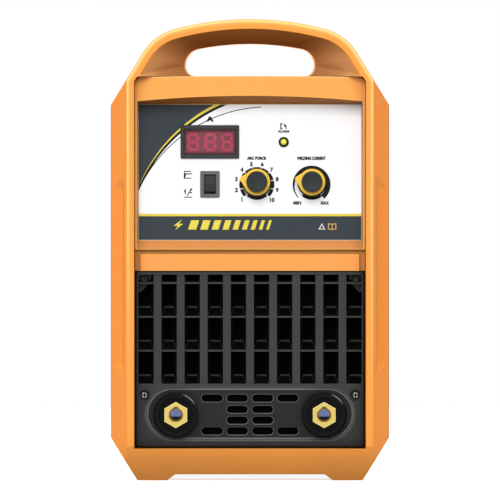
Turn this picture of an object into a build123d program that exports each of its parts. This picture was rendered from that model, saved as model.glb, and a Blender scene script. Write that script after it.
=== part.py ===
"""Stick welding inverter: two moulded end frames with carrying hoops, a sheet-metal case between them,
a control panel over an air grille with the output sockets at the front, and the mains side at the rear.

Frame of the model: millimetres, +Z up, the front faces -Y, and the origin is in the middle of the base.
A depth is measured inwards from the nearer rim plane, the front one or the rear one.
"""

import os
from math import atan2, cos, degrees, hypot, radians, sin, tan

from build123d import *

os.makedirs("parts", exist_ok=True)

# Overall size
WIDTH = 225.0
HEIGHT = 372.0
LENGTH = 430.0
HALF_WIDTH = WIDTH / 2

# End frame outline, seen from the front
LOW_SHOULDER_Z = 34.0
HIGH_SHOULDER_Z = 302.5
FOOT_OUTER_X = 90.7
FOOT_INNER_X = 66.9
BELLY_X = 60.2
BELLY_Z = 4.9
HIP_ANGLE = 58.3
CROWN_RADIUS = 235.0
CROWN_CORNER = 43.0

# Rim around the front opening of an end frame
RIM_OUTER_X = 99.4
RIM_INNER_X = 93.5
RIM_BOTTOM_Z = 25.5
RIM_BAND = 7.0
RIM_TOP_BAND = 7.6
RIM_CORNER = 37.0
RIM_EDGE = 2.0

# End frame depths
FRAME_DEPTH = 80.0
WING_DEPTH = 36.0
FLANGE_DEPTH = 26.0
FLANGE = 4.0
FRAME_WALL = 3.2
HOOP_DEPTH = 48.0
ROOF_Z = 322.2
CAVITY_TOP_Z = 318.7
CAVITY_BOTTOM_Z = 9.0
TRAY_DEPTH = 40.0

# Grip hole in the hoop
GRIP_HALF = 53.1
GRIP_BOTTOM_Z = 325.6
GRIP_TOP_Z = 352.1
GRIP_TOP_RADIUS = 215.0
GRIP_UPPER_CORNER = 14.0
GRIP_LOWER_CORNER = 8.5
FUNNEL_DEPTH = 30.0

# Sheet metal
COVER_INSET = 3.7
COVER_SHEET = 1.2
COVER_TOP_Z = 318.2
COVER_BOTTOM_Z = 11.0
COVER_HALF_LENGTH = 155.0
TRAY_INSET = 5.0
TRAY_SHEET = 1.5
TRAY_TOP_Z = 50.0
TRAY_BOTTOM_Z = 9.2
TRAY_HALF_LENGTH = 174.5

# Panel parts that sit inside the rims
PANEL_HALF = 92.0
HOOD_TOP_Z = 325.0
BEZEL_FIT = 0.35
BEZEL_BOTTOM_Z = 169.0
GRILLE_BOTTOM_Z = 26.9
GRILLE_TOP_Z = 168.6

# Control panel
LABEL_HALF = 90.0
LABEL_BOTTOM_Z = 193.5
LABEL_TOP_Z = 303.3
LABEL_DEPTH = 13.5
LABEL_SHEET = 0.6
LABEL_TILT = 5.4
PANEL_FRONT_DEPTH = 8.0
PANEL_BACK_DEPTH = 25.6
METER_X, METER_Z = -32.4, 272.9
MODE_X, MODE_Z = -32.3, 238.7
LED_X, LED_Z = 27.2, 272.8
KNOB_Z = 239.8
ARC_FORCE_X = 5.5
CURRENT_X = 50.0
POINTER_ANGLE = 168.0

# Output sockets
SOCKET_X = 59.85
SOCKET_Z = 52.7

# Rear panel
REAR_PANEL_SHEET = 3.0
FAN_Z = 105.0
POWER_X, POWER_Z = 48.0, 250.0
GLAND_X, GLAND_Z = -48.0, 250.0
EARTH_X, EARTH_Z = -48.0, 200.0

# Screws that hold the panels to the frame flanges
PANEL_SCREW_X = 85.2
PANEL_SCREW_LOW_Z = 68.7
PANEL_SCREW_HIGH_Z = 162.5
PANEL_SCREW_TOP_Z = 285.0

# Circuit board that carries the power stage
BOARD_Z = 38.0
BOARD_SHEET = 2.0
DECK_Z = BOARD_Z + BOARD_SHEET


def facing_front(x, z, depth):
    """A plane at a depth behind the front rim; its normal points out of the front and its y is up."""
    return Plane(origin=(x, depth - LENGTH / 2, z), x_dir=(1, 0, 0), z_dir=(0, -1, 0))


def facing_rear(x, z, depth):
    """A plane at a depth behind the rear rim; its normal points out of the rear and its y is up."""
    return Plane(origin=(x, LENGTH / 2 - depth, z), x_dir=(-1, 0, 0), z_dir=(0, 1, 0))


def facing_side(side, y, z, x):
    """A plane whose normal points out of the right (side 1) or left (side -1) of the case."""
    return Plane(origin=(side * x, y, z), x_dir=(0, side, 0), z_dir=(side, 0, 0))


def on_panel(x, z, height=0.0):
    """A plane on the tilted control panel at a front-view position, raised by a height off its face."""
    lean = radians(LABEL_TILT)
    depth = LABEL_DEPTH + (z - LABEL_BOTTOM_Z) * tan(lean)
    plane = Plane(origin=(x, depth - LENGTH / 2, z), x_dir=(1, 0, 0), z_dir=(0, -cos(lean), sin(lean)))
    return plane.offset(height)


OUT_OF_PANEL = Axis((0, 0, 0), (0, -cos(radians(LABEL_TILT)), sin(radians(LABEL_TILT))))


def save(piece, name):
    """Labels a finished piece and writes it as one STEP file."""
    piece.part.label = name
    export_step(piece.part, f"parts/{name}.step")


def case_points(inset, bottom, top):
    """The faceted case section, moved inwards by an inset and cut level at a bottom and a top height."""
    low_x, low_z = HALF_WIDTH - FOOT_OUTER_X, LOW_SHOULDER_Z
    low_normal_x, low_normal_z = low_z / hypot(low_x, low_z), low_x / hypot(low_x, low_z)
    high_normal_x, high_normal_z = sin(radians(HIP_ANGLE)), cos(radians(HIP_ANGLE))
    side_x = HALF_WIDTH - inset
    right = [
        (HALF_WIDTH + ((bottom - LOW_SHOULDER_Z) * low_normal_z - inset) / low_normal_x, bottom),
        (side_x, LOW_SHOULDER_Z + inset * (1 - low_normal_x) / low_normal_z),
    ]
    if top > HIGH_SHOULDER_Z:
        right.append((side_x, HIGH_SHOULDER_Z - inset * (1 - high_normal_x) / high_normal_z))
        right.append((HALF_WIDTH - (inset + (top - HIGH_SHOULDER_Z) * high_normal_z) / high_normal_x, top))
    else:
        right.append((side_x, top))
    return right + [(-x, z) for x, z in reversed(right)]


def polygon(points):
    """A closed face through the points, in the sketch being built."""
    return Polygon(*points, align=None)


def hip_line_x(z, inset=0.0):
    """The x of the sloping upper side of the frame at a height, moved inwards by an inset."""
    run = (z - HIGH_SHOULDER_Z) / tan(radians(HIP_ANGLE))
    return HALF_WIDTH - run - inset / sin(radians(HIP_ANGLE))


def crown_corner_point(radius, top, inset):
    """Where the sloping side meets the crown arc of a radius that peaks at a height."""
    slope = radians(HIP_ANGLE)
    start_x = hip_line_x(HIGH_SHOULDER_Z, inset)
    centre_z = top - radius
    rise = HIGH_SHOULDER_Z - centre_z
    half_b = rise * sin(slope) - start_x * cos(slope)
    along = -half_b + (half_b**2 - start_x**2 - rise**2 + radius**2) ** 0.5
    return start_x - along * cos(slope), HIGH_SHOULDER_Z + along * sin(slope)


# --- Tools: shapes that are cut away or repeated ---

# A scoop in the slanted wing of the frame: steep beside the rim, running out to nothing at the back.
wing_slope = (HALF_WIDTH - RIM_OUTER_X) / WING_DEPTH
wing_angle = degrees(atan2(HALF_WIDTH - RIM_OUTER_X, WING_DEPTH))
SCOOP_FRONT_X = 101.4
SCOOP_FLOOR_X = 102.6
SCOOP_BACK_X = 110.3
SCOOP_FLOOR_DEPTH = 15.5
SCOOP_FRONT_ENDS = (81.1, 246.8)
SCOOP_BACK_ENDS = (94.8, 235.5)
scoop_front = (SCOOP_FRONT_X, (SCOOP_FRONT_X - RIM_OUTER_X) / wing_slope - LENGTH / 2)
scoop_floor = (SCOOP_FLOOR_X, SCOOP_FLOOR_DEPTH - LENGTH / 2)
scoop_back = (SCOOP_BACK_X, (SCOOP_BACK_X - RIM_OUTER_X) / wing_slope - LENGTH / 2)
outwards = Vector(4 * cos(radians(wing_angle)), -4 * sin(radians(wing_angle)))
with BuildPart() as scoop:
    with BuildSketch(Plane.XY.offset(SCOOP_FRONT_ENDS[0] - 20)):
        polygon(
            [
                scoop_front,
                scoop_floor,
                scoop_back,
                tuple(Vector(*scoop_back) + outwards)[:2],
                tuple(Vector(*scoop_front) + outwards)[:2],
            ]
        )
    extrude(amount=SCOOP_FRONT_ENDS[1] - SCOOP_FRONT_ENDS[0] + 40)
    for front_z, back_z, keep in (
        (SCOOP_FRONT_ENDS[1], SCOOP_BACK_ENDS[1], Keep.BOTTOM),
        (SCOOP_FRONT_ENDS[0], SCOOP_BACK_ENDS[0], Keep.TOP),
    ):
        corner = Vector(*scoop_front, front_z)
        to_floor = Vector(*scoop_floor, back_z) - corner
        to_back = Vector(*scoop_back, back_z) - corner
        normal = to_floor.cross(to_back)
        if normal.Z < 0:
            normal = -normal
        split(bisect_by=Plane(origin=corner, z_dir=normal), keep=keep)


# Outline of the grip hole in the hoop.
grip_side_z = GRIP_TOP_Z - GRIP_HALF**2 / (2 * GRIP_TOP_RADIUS)
with BuildSketch() as grip_outline:
    with BuildLine():
        Polyline(
            (GRIP_HALF, grip_side_z),
            (GRIP_HALF, GRIP_BOTTOM_Z),
            (-GRIP_HALF, GRIP_BOTTOM_Z),
            (-GRIP_HALF, grip_side_z),
        )
        ThreePointArc((-GRIP_HALF, grip_side_z), (0, GRIP_TOP_Z), (GRIP_HALF, grip_side_z))
    make_face()
    fillet(grip_outline.vertices().group_by(Axis.Y)[-1], GRIP_UPPER_CORNER)
    fillet(grip_outline.vertices().group_by(Axis.Y)[0], GRIP_LOWER_CORNER)


def pan_screw(length, head_radius=3.6, head_height=2.2, shank_radius=1.9):
    """A pan-head screw along +Z with a cross recess; its origin is under the head."""
    with BuildPart() as screw:
        Cylinder(head_radius, head_height, align=(Align.CENTER, Align.CENTER, Align.MIN))
        fillet(screw.edges().group_by(Axis.Z)[-1], head_height * 0.6)
        Cylinder(shank_radius, length, align=(Align.CENTER, Align.CENTER, Align.MAX))
        for turn in (0, 90):
            with Locations(Location((0, 0, head_height), (0, 0, turn))):
                Box(
                    head_radius * 1.15,
                    head_radius * 0.3,
                    head_height * 1.1,
                    mode=Mode.SUBTRACT,
                )
    return screw.part


def hex_nut(across_flats, height, bore_radius):
    """A hexagon nut along +Z with rounded-off corners; its origin is the middle of its lower face."""
    with BuildPart() as nut:
        with BuildSketch():
            RegularPolygon(across_flats / 2, 6, major_radius=False)
        extrude(amount=height)
        with BuildSketch(mode=Mode.PRIVATE) as disc:
            Circle(across_flats / 2 * 1.11)
        extrude(disc.sketch, amount=height, mode=Mode.INTERSECT)
        Cylinder(bore_radius, 3 * height, mode=Mode.SUBTRACT)
        chamfer(nut.edges().filter_by(GeomType.CIRCLE).filter_by(lambda e: e.radius < bore_radius * 1.01), 0.3)
    return nut.part


# --- Case: frames, cover and tray ---

crown = crown_corner_point(CROWN_RADIUS, HEIGHT, 0)
rim_top_z = HEIGHT - RIM_TOP_BAND
rim_radius = CROWN_RADIUS - RIM_BAND
rim_crown = crown_corner_point(rim_radius, rim_top_z, RIM_BAND)
RIM_TILT_Z = 27.5
RIM_TILT_DEPTH = 8.0
POCKET_TOP_Z = 325.75
POCKET_DRAFT = 2.4
SILL_Z = 324.6
HOOD_ARCH = 1.2
POCKET_HIP_BAND = RIM_BAND - 1.0
WINDOW_HALF = 79.0
WINDOW_BOTTOM_Z = 33.0
WINDOW_TOP_Z = 300.0
FRAME_SCREW_DEPTH = 70.0
FRAME_SCREW_HEIGHTS = (60.0, 280.0)
SCREW_CLEARANCE = 2.1
COVER_SCREW_SEAT = 1.9

with BuildPart() as front_frame:
    with BuildSketch(facing_front(0, 0, 0)) as frame_face:
        with BuildLine():
            Polyline(
                crown,
                (HALF_WIDTH, HIGH_SHOULDER_Z),
                (HALF_WIDTH, LOW_SHOULDER_Z),
                (FOOT_OUTER_X, 0),
                (FOOT_INNER_X, 0),
                (BELLY_X, BELLY_Z),
                (-BELLY_X, BELLY_Z),
                (-FOOT_INNER_X, 0),
                (-FOOT_OUTER_X, 0),
                (-HALF_WIDTH, LOW_SHOULDER_Z),
                (-HALF_WIDTH, HIGH_SHOULDER_Z),
                (-crown[0], crown[1]),
            )
            ThreePointArc((-crown[0], crown[1]), (0, HEIGHT), crown)
        make_face()
        fillet(frame_face.vertices().group_by(Axis.Y)[-1], CROWN_CORNER)
        fillet(frame_face.vertices().filter_by(lambda v: abs(v.Y - HIGH_SHOULDER_Z) < 0.1), 3)
        fillet(frame_face.vertices().filter_by(lambda v: abs(v.Y - LOW_SHOULDER_Z) < 0.1), 2.5)
        fillet(frame_face.vertices().filter_by(lambda v: v.Y < BELLY_Z + 0.1), 1.8)
    extrude(amount=-FRAME_DEPTH)
    # The wings slant from the rim out to the full width, with a soft edge where they meet the sides.
    WING_EDGE = 25.0
    soft = WING_EDGE * tan(radians(wing_angle / 2))
    wing_back_y = WING_DEPTH - LENGTH / 2
    wing_end = (
        HALF_WIDTH - soft * sin(radians(wing_angle)),
        wing_back_y - soft * cos(radians(wing_angle)),
    )
    with BuildSketch(Plane.XY.offset(-1)):
        with BuildLine():
            Polyline(
                (HALF_WIDTH, wing_back_y + soft),
                (HALF_WIDTH + 10, wing_back_y + soft),
                (HALF_WIDTH + 10, -LENGTH / 2 - 1),
                (RIM_OUTER_X - wing_slope, -LENGTH / 2 - 1),
                wing_end,
            )
            RadiusArc(wing_end, (HALF_WIDTH, wing_back_y + soft), -WING_EDGE)
        make_face()
        mirror(about=Plane.YZ)
    extrude(amount=HEIGHT + 2, mode=Mode.SUBTRACT)
    # The face below the opening leans back towards the feet.
    with BuildSketch(Plane.YZ):
        polygon(
            [
                (-LENGTH / 2 - 1, RIM_TILT_Z + RIM_TILT_Z / RIM_TILT_DEPTH),
                (RIM_TILT_DEPTH - LENGTH / 2 + 1, -RIM_TILT_Z / RIM_TILT_DEPTH),
                (-LENGTH / 2 - 1, -RIM_TILT_Z / RIM_TILT_DEPTH),
            ]
        )
    extrude(amount=WIDTH, both=True, mode=Mode.SUBTRACT)
    fillet(front_frame.faces().sort_by(Axis.Y)[0].outer_wire().edges(), RIM_EDGE)
    add(scoop.part, mode=Mode.SUBTRACT)
    add(scoop.part.mirror(Plane.YZ), mode=Mode.SUBTRACT)
    # Everything behind the hoop is cut down to a low roof that covers the end of the sheet metal.
    with BuildSketch(Plane.YZ) as behind_hoop:
        polygon(
            [
                (HOOP_DEPTH - 6 - LENGTH / 2, HEIGHT + 1),
                (HOOP_DEPTH - LENGTH / 2, ROOF_Z),
                (FRAME_DEPTH + 1 - LENGTH / 2, ROOF_Z),
                (FRAME_DEPTH + 1 - LENGTH / 2, HEIGHT + 1),
            ]
        )
        fillet(behind_hoop.vertices().filter_by(lambda v: v.Y < ROOF_Z + 1 and v.X < 49 - LENGTH / 2), 9)
    extrude(amount=WIDTH, both=True, mode=Mode.SUBTRACT)
    # Pocket for the panels, with a little draft and an arched top.
    with BuildSketch(facing_front(0, 0, 0)) as pocket_mouth:
        pocket_side_z = HIGH_SHOULDER_Z + (HALF_WIDTH - RIM_INNER_X) * tan(radians(HIP_ANGLE))
        pocket_side_z -= POCKET_HIP_BAND / cos(radians(HIP_ANGLE))
        pocket_top_x = hip_line_x(POCKET_TOP_Z, POCKET_HIP_BAND)
        with BuildLine():
            Polyline(
                (pocket_top_x, POCKET_TOP_Z),
                (RIM_INNER_X, pocket_side_z),
                (RIM_INNER_X, RIM_BOTTOM_Z),
                (-RIM_INNER_X, RIM_BOTTOM_Z),
                (-RIM_INNER_X, pocket_side_z),
                (-pocket_top_x, POCKET_TOP_Z),
            )
            ThreePointArc(
                (-pocket_top_x, POCKET_TOP_Z), (0, POCKET_TOP_Z + HOOD_ARCH), (pocket_top_x, POCKET_TOP_Z)
            )
        make_face()
        fillet(pocket_mouth.vertices().group_by(Axis.Y)[-1], 2)
    extrude(amount=-FLANGE_DEPTH, taper=POCKET_DRAFT, mode=Mode.SUBTRACT)
    # Funnel from the rim to the grip hole.
    with BuildSketch(facing_front(0, 0, 0)) as funnel_mouth:
        with BuildLine():
            mouth_x = hip_line_x(SILL_Z, RIM_BAND)
            Line(rim_crown, (mouth_x, SILL_Z))
            ThreePointArc((mouth_x, SILL_Z), (0, SILL_Z + HOOD_ARCH), (-mouth_x, SILL_Z))
            Line((-mouth_x, SILL_Z), (-rim_crown[0], rim_crown[1]))
            ThreePointArc((-rim_crown[0], rim_crown[1]), (0, rim_top_z), rim_crown)
        make_face()
        fillet(funnel_mouth.vertices().group_by(Axis.Y)[-1], RIM_CORNER)
        fillet(funnel_mouth.vertices().group_by(Axis.Y)[0], 2)
    with BuildSketch(facing_front(0, 0, FUNNEL_DEPTH)):
        add(grip_outline.sketch)
    loft(mode=Mode.SUBTRACT)
    with BuildSketch(facing_front(0, 0, FUNNEL_DEPTH - 4)):
        add(grip_outline.sketch)
    extrude(amount=-HOOP_DEPTH, mode=Mode.SUBTRACT)
    # Window through the flange and the cavity that takes the tray and the cover.
    with BuildSketch(facing_front(0, (WINDOW_BOTTOM_Z + WINDOW_TOP_Z) / 2, FLANGE_DEPTH)):
        Rectangle(2 * WINDOW_HALF, WINDOW_TOP_Z - WINDOW_BOTTOM_Z)
    extrude(amount=-FLANGE, mode=Mode.SUBTRACT)
    for depth, inset in ((FLANGE_DEPTH + FLANGE, FRAME_WALL + 4), (TRAY_DEPTH, FRAME_WALL)):
        with BuildSketch(facing_front(0, 0, depth)):
            polygon(case_points(inset, CAVITY_BOTTOM_Z, CAVITY_TOP_Z))
        extrude(amount=-FRAME_DEPTH, mode=Mode.SUBTRACT)
    with BuildSketch(facing_front(0, 0, FLANGE_DEPTH)):
        for height in (PANEL_SCREW_LOW_Z, PANEL_SCREW_HIGH_Z, PANEL_SCREW_TOP_Z):
            with Locations((PANEL_SCREW_X, height), (-PANEL_SCREW_X, height)):
                Circle(1.95)
    extrude(amount=-FLANGE, mode=Mode.SUBTRACT)
    for height in FRAME_SCREW_HEIGHTS:
        for side in (-1, 1):
            with Locations(facing_side(side, FRAME_SCREW_DEPTH - LENGTH / 2, height, HALF_WIDTH)):
                CounterBoreHole(SCREW_CLEARANCE, 4.2, COVER_SCREW_SEAT, depth=8)
save(front_frame, "front_frame")

with BuildPart() as rear_frame:
    mirror(front_frame.part, about=Plane.XZ)
save(rear_frame, "rear_frame")

with BuildPart() as case_cover:
    with BuildSketch(Plane.XZ.offset(-COVER_HALF_LENGTH)):
        polygon(case_points(COVER_INSET, COVER_BOTTOM_Z, COVER_TOP_Z))
    extrude(amount=2 * COVER_HALF_LENGTH)
    with BuildSketch(Plane.XZ.offset(-COVER_HALF_LENGTH - 1)):
        polygon(case_points(COVER_INSET + COVER_SHEET, COVER_BOTTOM_Z - 1, COVER_TOP_Z - COVER_SHEET))
    extrude(amount=2 * COVER_HALF_LENGTH + 2, mode=Mode.SUBTRACT)
    for side in (-1, 1):
        with BuildSketch(facing_side(side, 0, 0, HALF_WIDTH)):
            for group_y in (-60, 60):
                with Locations((side * group_y, 120)):
                    with GridLocations(0, 11, 1, 9):
                        SlotOverall(70, 4.4)
            for screw_y in (-1, 1):
                for height in FRAME_SCREW_HEIGHTS:
                    with Locations((screw_y * (LENGTH / 2 - FRAME_SCREW_DEPTH), height)):
                        Circle(SCREW_CLEARANCE)
        extrude(amount=-14, mode=Mode.SUBTRACT)
save(case_cover, "case_cover")

with BuildPart() as base_tray:
    with BuildSketch(Plane.XZ.offset(-TRAY_HALF_LENGTH)):
        polygon(case_points(TRAY_INSET, TRAY_BOTTOM_Z, TRAY_TOP_Z))
    extrude(amount=2 * TRAY_HALF_LENGTH)
    with BuildSketch(Plane.XZ.offset(-TRAY_HALF_LENGTH - 1)):
        polygon(case_points(TRAY_INSET + TRAY_SHEET, TRAY_BOTTOM_Z + TRAY_SHEET, TRAY_TOP_Z + 1))
    extrude(amount=2 * TRAY_HALF_LENGTH + 2, mode=Mode.SUBTRACT)
save(base_tray, "base_tray")

with BuildPart() as cover_screws:
    for side in (-1, 1):
        for end in (-1, 1):
            for height in FRAME_SCREW_HEIGHTS:
                seat_x = HALF_WIDTH - COVER_SCREW_SEAT
                seat = facing_side(side, end * (LENGTH / 2 - FRAME_SCREW_DEPTH), height, seat_x)
                with Locations(seat):
                    add(pan_screw(7.5, head_radius=3.9, head_height=1.8))
save(cover_screws, "cover_screws")

# --- Control panel ---

HOOD_LOW_Z, HOOD_ARCH_Z = 305.8, 310.2
HOOD_CORNER = 5.5
LEDGE_Z = 186.1
GROOVE_Z = 183.0
CROSSBAR_HALF = 88.0
BEZEL_SKIN = 3.0
METER_BODY = (44.6, 24.4)
MODE_BODY = (13.2, 19.2)
LED_BARREL = 3.5
BUSHING_RADIUS = 3.5
KNOBS = {"arc_force": ARC_FORCE_X, "current": CURRENT_X}

with BuildPart() as panel_bezel:
    # The outline follows the pocket's wall and its draft all the way round the top and the sides.
    pocket_gap = PANEL_FRONT_DEPTH * tan(radians(POCKET_DRAFT)) + BEZEL_FIT
    bezel_half = RIM_INNER_X - pocket_gap
    with BuildSketch(facing_front(0, 0, PANEL_FRONT_DEPTH)) as bezel_face:
        with BuildLine():
            Polyline(
                (bezel_half, HOOD_TOP_Z),
                (bezel_half, BEZEL_BOTTOM_Z),
                (-bezel_half, BEZEL_BOTTOM_Z),
                (-bezel_half, HOOD_TOP_Z),
            )
            ThreePointArc(
                (-bezel_half, HOOD_TOP_Z), (0, HOOD_TOP_Z + HOOD_ARCH), (bezel_half, HOOD_TOP_Z)
            )
        make_face()
        fillet(bezel_face.vertices().group_by(Axis.Y)[-1], HOOD_CORNER)
    extrude(amount=PANEL_FRONT_DEPTH - PANEL_BACK_DEPTH, taper=POCKET_DRAFT)
    with BuildSketch(facing_front(0, BEZEL_BOTTOM_Z + 2, PANEL_FRONT_DEPTH)):
        Rectangle(2 * bezel_half - 2, 4)
    extrude(amount=PANEL_FRONT_DEPTH - PANEL_BACK_DEPTH)
    # The recess under the hood runs back to the tilted face that carries the label.
    with BuildSketch(facing_front(0, 0, PANEL_FRONT_DEPTH)):
        with BuildLine():
            Polyline((91, HOOD_LOW_Z), (91, LEDGE_Z), (-91, LEDGE_Z), (-91, HOOD_LOW_Z))
            ThreePointArc((-91, HOOD_LOW_Z), (0, HOOD_ARCH_Z), (91, HOOD_LOW_Z))
        make_face()
    label_length = (LABEL_TOP_Z - LABEL_BOTTOM_Z) / cos(radians(LABEL_TILT))
    with BuildSketch(on_panel(0, LABEL_BOTTOM_Z)):
        with BuildLine():
            edge_x = LABEL_HALF + 0.2
            Polyline((edge_x, label_length), (edge_x, 0), (-edge_x, 0), (-edge_x, label_length))
            ThreePointArc((-edge_x, label_length), (0, label_length + 0.3), (edge_x, label_length))
        make_face()
    loft(ruled=True, mode=Mode.SUBTRACT)
    with BuildSketch(on_panel(0, LABEL_BOTTOM_Z)):
        with Locations((0, label_length / 2)):
            Rectangle(2 * LABEL_HALF, label_length - 0.2)
    extrude(amount=-LABEL_SHEET, mode=Mode.SUBTRACT)
    with BuildSketch(on_panel(0, LABEL_BOTTOM_Z, -BEZEL_SKIN)):
        with Locations((0, label_length / 2 - 10)):
            Rectangle(152, label_length + 12)
    extrude(amount=-30, mode=Mode.SUBTRACT)
    # Groove over the crossbar and the set-back ends of it.
    with BuildSketch(facing_front(0, 0, PANEL_FRONT_DEPTH)):
        with Locations((0, (GROOVE_Z + LEDGE_Z) / 2)):
            Rectangle(2 * bezel_half + 2, LEDGE_Z - GROOVE_Z)
        with Locations((CROSSBAR_HALF + 5, (GROOVE_Z + 160) / 2), (-CROSSBAR_HALF - 5, (GROOVE_Z + 160) / 2)):
            Rectangle(10, GROOVE_Z - 160)
    extrude(amount=-3.5, mode=Mode.SUBTRACT)
    crossbar_face = panel_bezel.faces().sort_by(Axis.Y)[:2].sort_by(Axis.Z)[0]
    fillet(crossbar_face.edges().sort_by(Axis.Z)[-1], 2.4)
    for x, z, width, height in (
        (METER_X, METER_Z, METER_BODY[0] + 0.6, METER_BODY[1] + 0.6),
        (MODE_X, MODE_Z, MODE_BODY[0] + 0.4, MODE_BODY[1] + 0.4),
    ):
        with BuildSketch(on_panel(x, z)):
            Rectangle(width, height)
        extrude(amount=-14, mode=Mode.SUBTRACT)
    with Locations(on_panel(LED_X, LED_Z)):
        Hole(LED_BARREL + 0.1, depth=14)
    for x in KNOBS.values():
        with Locations(on_panel(x, KNOB_Z)):
            Hole(BUSHING_RADIUS + 0.1, depth=14)
save(panel_bezel, "panel_bezel")

with BuildPart() as control_label:
    with BuildSketch(on_panel(0, LABEL_BOTTOM_Z)) as label_face:
        with Locations((0, label_length / 2)):
            Rectangle(2 * LABEL_HALF - 0.2, label_length - 0.4)
    extrude(amount=-LABEL_SHEET)
    for x, z, width, height in (
        (METER_X, METER_Z, METER_BODY[0] + 0.6, METER_BODY[1] + 0.6),
        (MODE_X, MODE_Z, MODE_BODY[0] + 0.4, MODE_BODY[1] + 0.4),
    ):
        with BuildSketch(on_panel(x, z)):
            Rectangle(width, height)
        extrude(amount=-LABEL_SHEET, mode=Mode.SUBTRACT)
    with Locations(on_panel(LED_X, LED_Z)):
        Hole(LED_BARREL + 0.1)
    for x in KNOBS.values():
        with Locations(on_panel(x, KNOB_Z)):
            Hole(BUSHING_RADIUS + 0.1)
save(control_label, "control_label")

METER_BEZEL = (47.3, 27.0)
METER_WINDOW = (40.8, 19.4)
METER_PROUD = 2.2
METER_LENGTH = 22.0
with BuildPart() as meter_housing:
    with BuildSketch(on_panel(METER_X, METER_Z)):
        RectangleRounded(*METER_BEZEL, 1)
    extrude(amount=METER_PROUD)
    chamfer(meter_housing.faces().sort_by(OUT_OF_PANEL)[-1].outer_wire().edges(), 0.8)
    with BuildSketch(on_panel(METER_X, METER_Z)):
        Rectangle(*METER_BODY)
    extrude(amount=-METER_LENGTH)
    with BuildSketch(on_panel(METER_X, METER_Z, METER_PROUD)):
        Rectangle(*METER_WINDOW)
    extrude(amount=-METER_LENGTH - METER_PROUD - 1, mode=Mode.SUBTRACT)
    chamfer(meter_housing.faces().sort_by(OUT_OF_PANEL)[-1].inner_wires()[0].edges(), 0.9)
save(meter_housing, "meter_housing")

with BuildPart() as meter_window:
    with BuildSketch(on_panel(METER_X, METER_Z, -0.4)):
        Rectangle(METER_WINDOW[0] - 0.1, METER_WINDOW[1] - 0.1)
    extrude(amount=1.4)
save(meter_window, "meter_window")

with BuildPart() as meter_display:
    with BuildSketch(on_panel(METER_X, METER_Z, -8.0)):
        Rectangle(37.6, 16)
    extrude(amount=6.6)
    with BuildSketch(on_panel(METER_X, METER_Z, -9.6)):
        Rectangle(METER_WINDOW[0] - 0.4, METER_WINDOW[1] - 3)
    extrude(amount=1.6)
save(meter_display, "meter_display")

MODE_BEZEL = (15.9, 21.8)
MODE_OPENING = (9.5, 15.7)
MODE_PROUD = 2.0
ROCKER_RADIUS = 7.4
ROCKER_WIDTH = 8.8
ROCKER_PIVOT = -1.0
ROCKER_TILT = 12.0
ROCKER_RISE = 28.0
with BuildPart() as mode_switch_body:
    with BuildSketch(on_panel(MODE_X, MODE_Z)):
        RectangleRounded(*MODE_BEZEL, 0.8)
    extrude(amount=MODE_PROUD, taper=18)
    with BuildSketch(on_panel(MODE_X, MODE_Z)):
        Rectangle(*MODE_BODY)
    extrude(amount=-15)
    with BuildSketch(on_panel(MODE_X, MODE_Z, MODE_PROUD + 1)):
        Rectangle(*MODE_OPENING)
    extrude(amount=ROCKER_PIVOT - ROCKER_RADIUS - 0.6 - MODE_PROUD - 1, mode=Mode.SUBTRACT)
    with Locations(on_panel(MODE_X, MODE_Z, ROCKER_PIVOT)):
        Cylinder(0.95, 11.8, rotation=(0, 90, 0), mode=Mode.SUBTRACT)
save(mode_switch_body, "mode_switch_body")

with BuildPart() as rocker_blank:
    with BuildSketch(Plane.YZ):
        Circle(ROCKER_RADIUS)
        rim_y = ROCKER_RADIUS * cos(radians(ROCKER_RISE))
        rim_z = ROCKER_RADIUS * sin(radians(ROCKER_RISE))
        with BuildLine():
            Polyline(
                (-rim_y * 1.4, rim_z + 0.3),
                (-rim_y, rim_z),
                (0, 2.3),
                (rim_y, rim_z),
                (rim_y * 1.4, rim_z + 0.3),
                (rim_y * 1.4, 12),
                (-rim_y * 1.4, 12),
                close=True,
            )
        make_face(mode=Mode.SUBTRACT)
    extrude(amount=ROCKER_WIDTH / 2, both=True)
    Cylinder(0.9, 11.2, rotation=(0, 90, 0))
with BuildPart() as mode_switch_rocker:
    tilted = Plane.XY.rotated((-ROCKER_TILT, 0, 0)).location
    add(rocker_blank.part.moved(on_panel(MODE_X, MODE_Z, ROCKER_PIVOT).location * tilted))
save(mode_switch_rocker, "mode_switch_rocker")

with BuildPart() as mode_switch_terminals:
    with BuildSketch(on_panel(MODE_X, MODE_Z, -15)):
        with GridLocations(0, 6.5, 1, 3):
            Rectangle(4.8, 0.8)
    extrude(amount=-8)
save(mode_switch_terminals, "mode_switch_terminals")

with BuildPart() as led_holder:
    with BuildSketch(on_panel(LED_X, LED_Z)):
        Circle(4.1)
    extrude(amount=1.8)
    chamfer(led_holder.edges().filter_by(GeomType.CIRCLE).sort_by(OUT_OF_PANEL)[-1], 0.7)
    with BuildSketch(on_panel(LED_X, LED_Z)):
        Circle(LED_BARREL)
    extrude(amount=-9)
    with Locations(on_panel(LED_X, LED_Z, 2)):
        Hole(2.45, depth=14)
save(led_holder, "led_holder")

with BuildPart() as alarm_led:
    with BuildSketch(on_panel(LED_X, LED_Z, -5)):
        Circle(2.4)
    extrude(amount=6.4)
    with Locations(on_panel(LED_X, LED_Z, 1.4)):
        Sphere(2.4)
save(alarm_led, "alarm_led")

# --- Knobs: each has a skirt, a pointer ring and a cap on the shaft of a potentiometer ---

SKIRT_RADIUS = 11.75
RING_RADIUS = 10.7
RING_INNER = 8.5
POINTER_REACH = 13.9
POINTER_TIP = 2.5
KNOB_GAP = 1.0
SKIRT_TOP = 6.0
RING_TOP = 9.0
CAP_TOP = 16.6
SHAFT_RADIUS = 2.95

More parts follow.
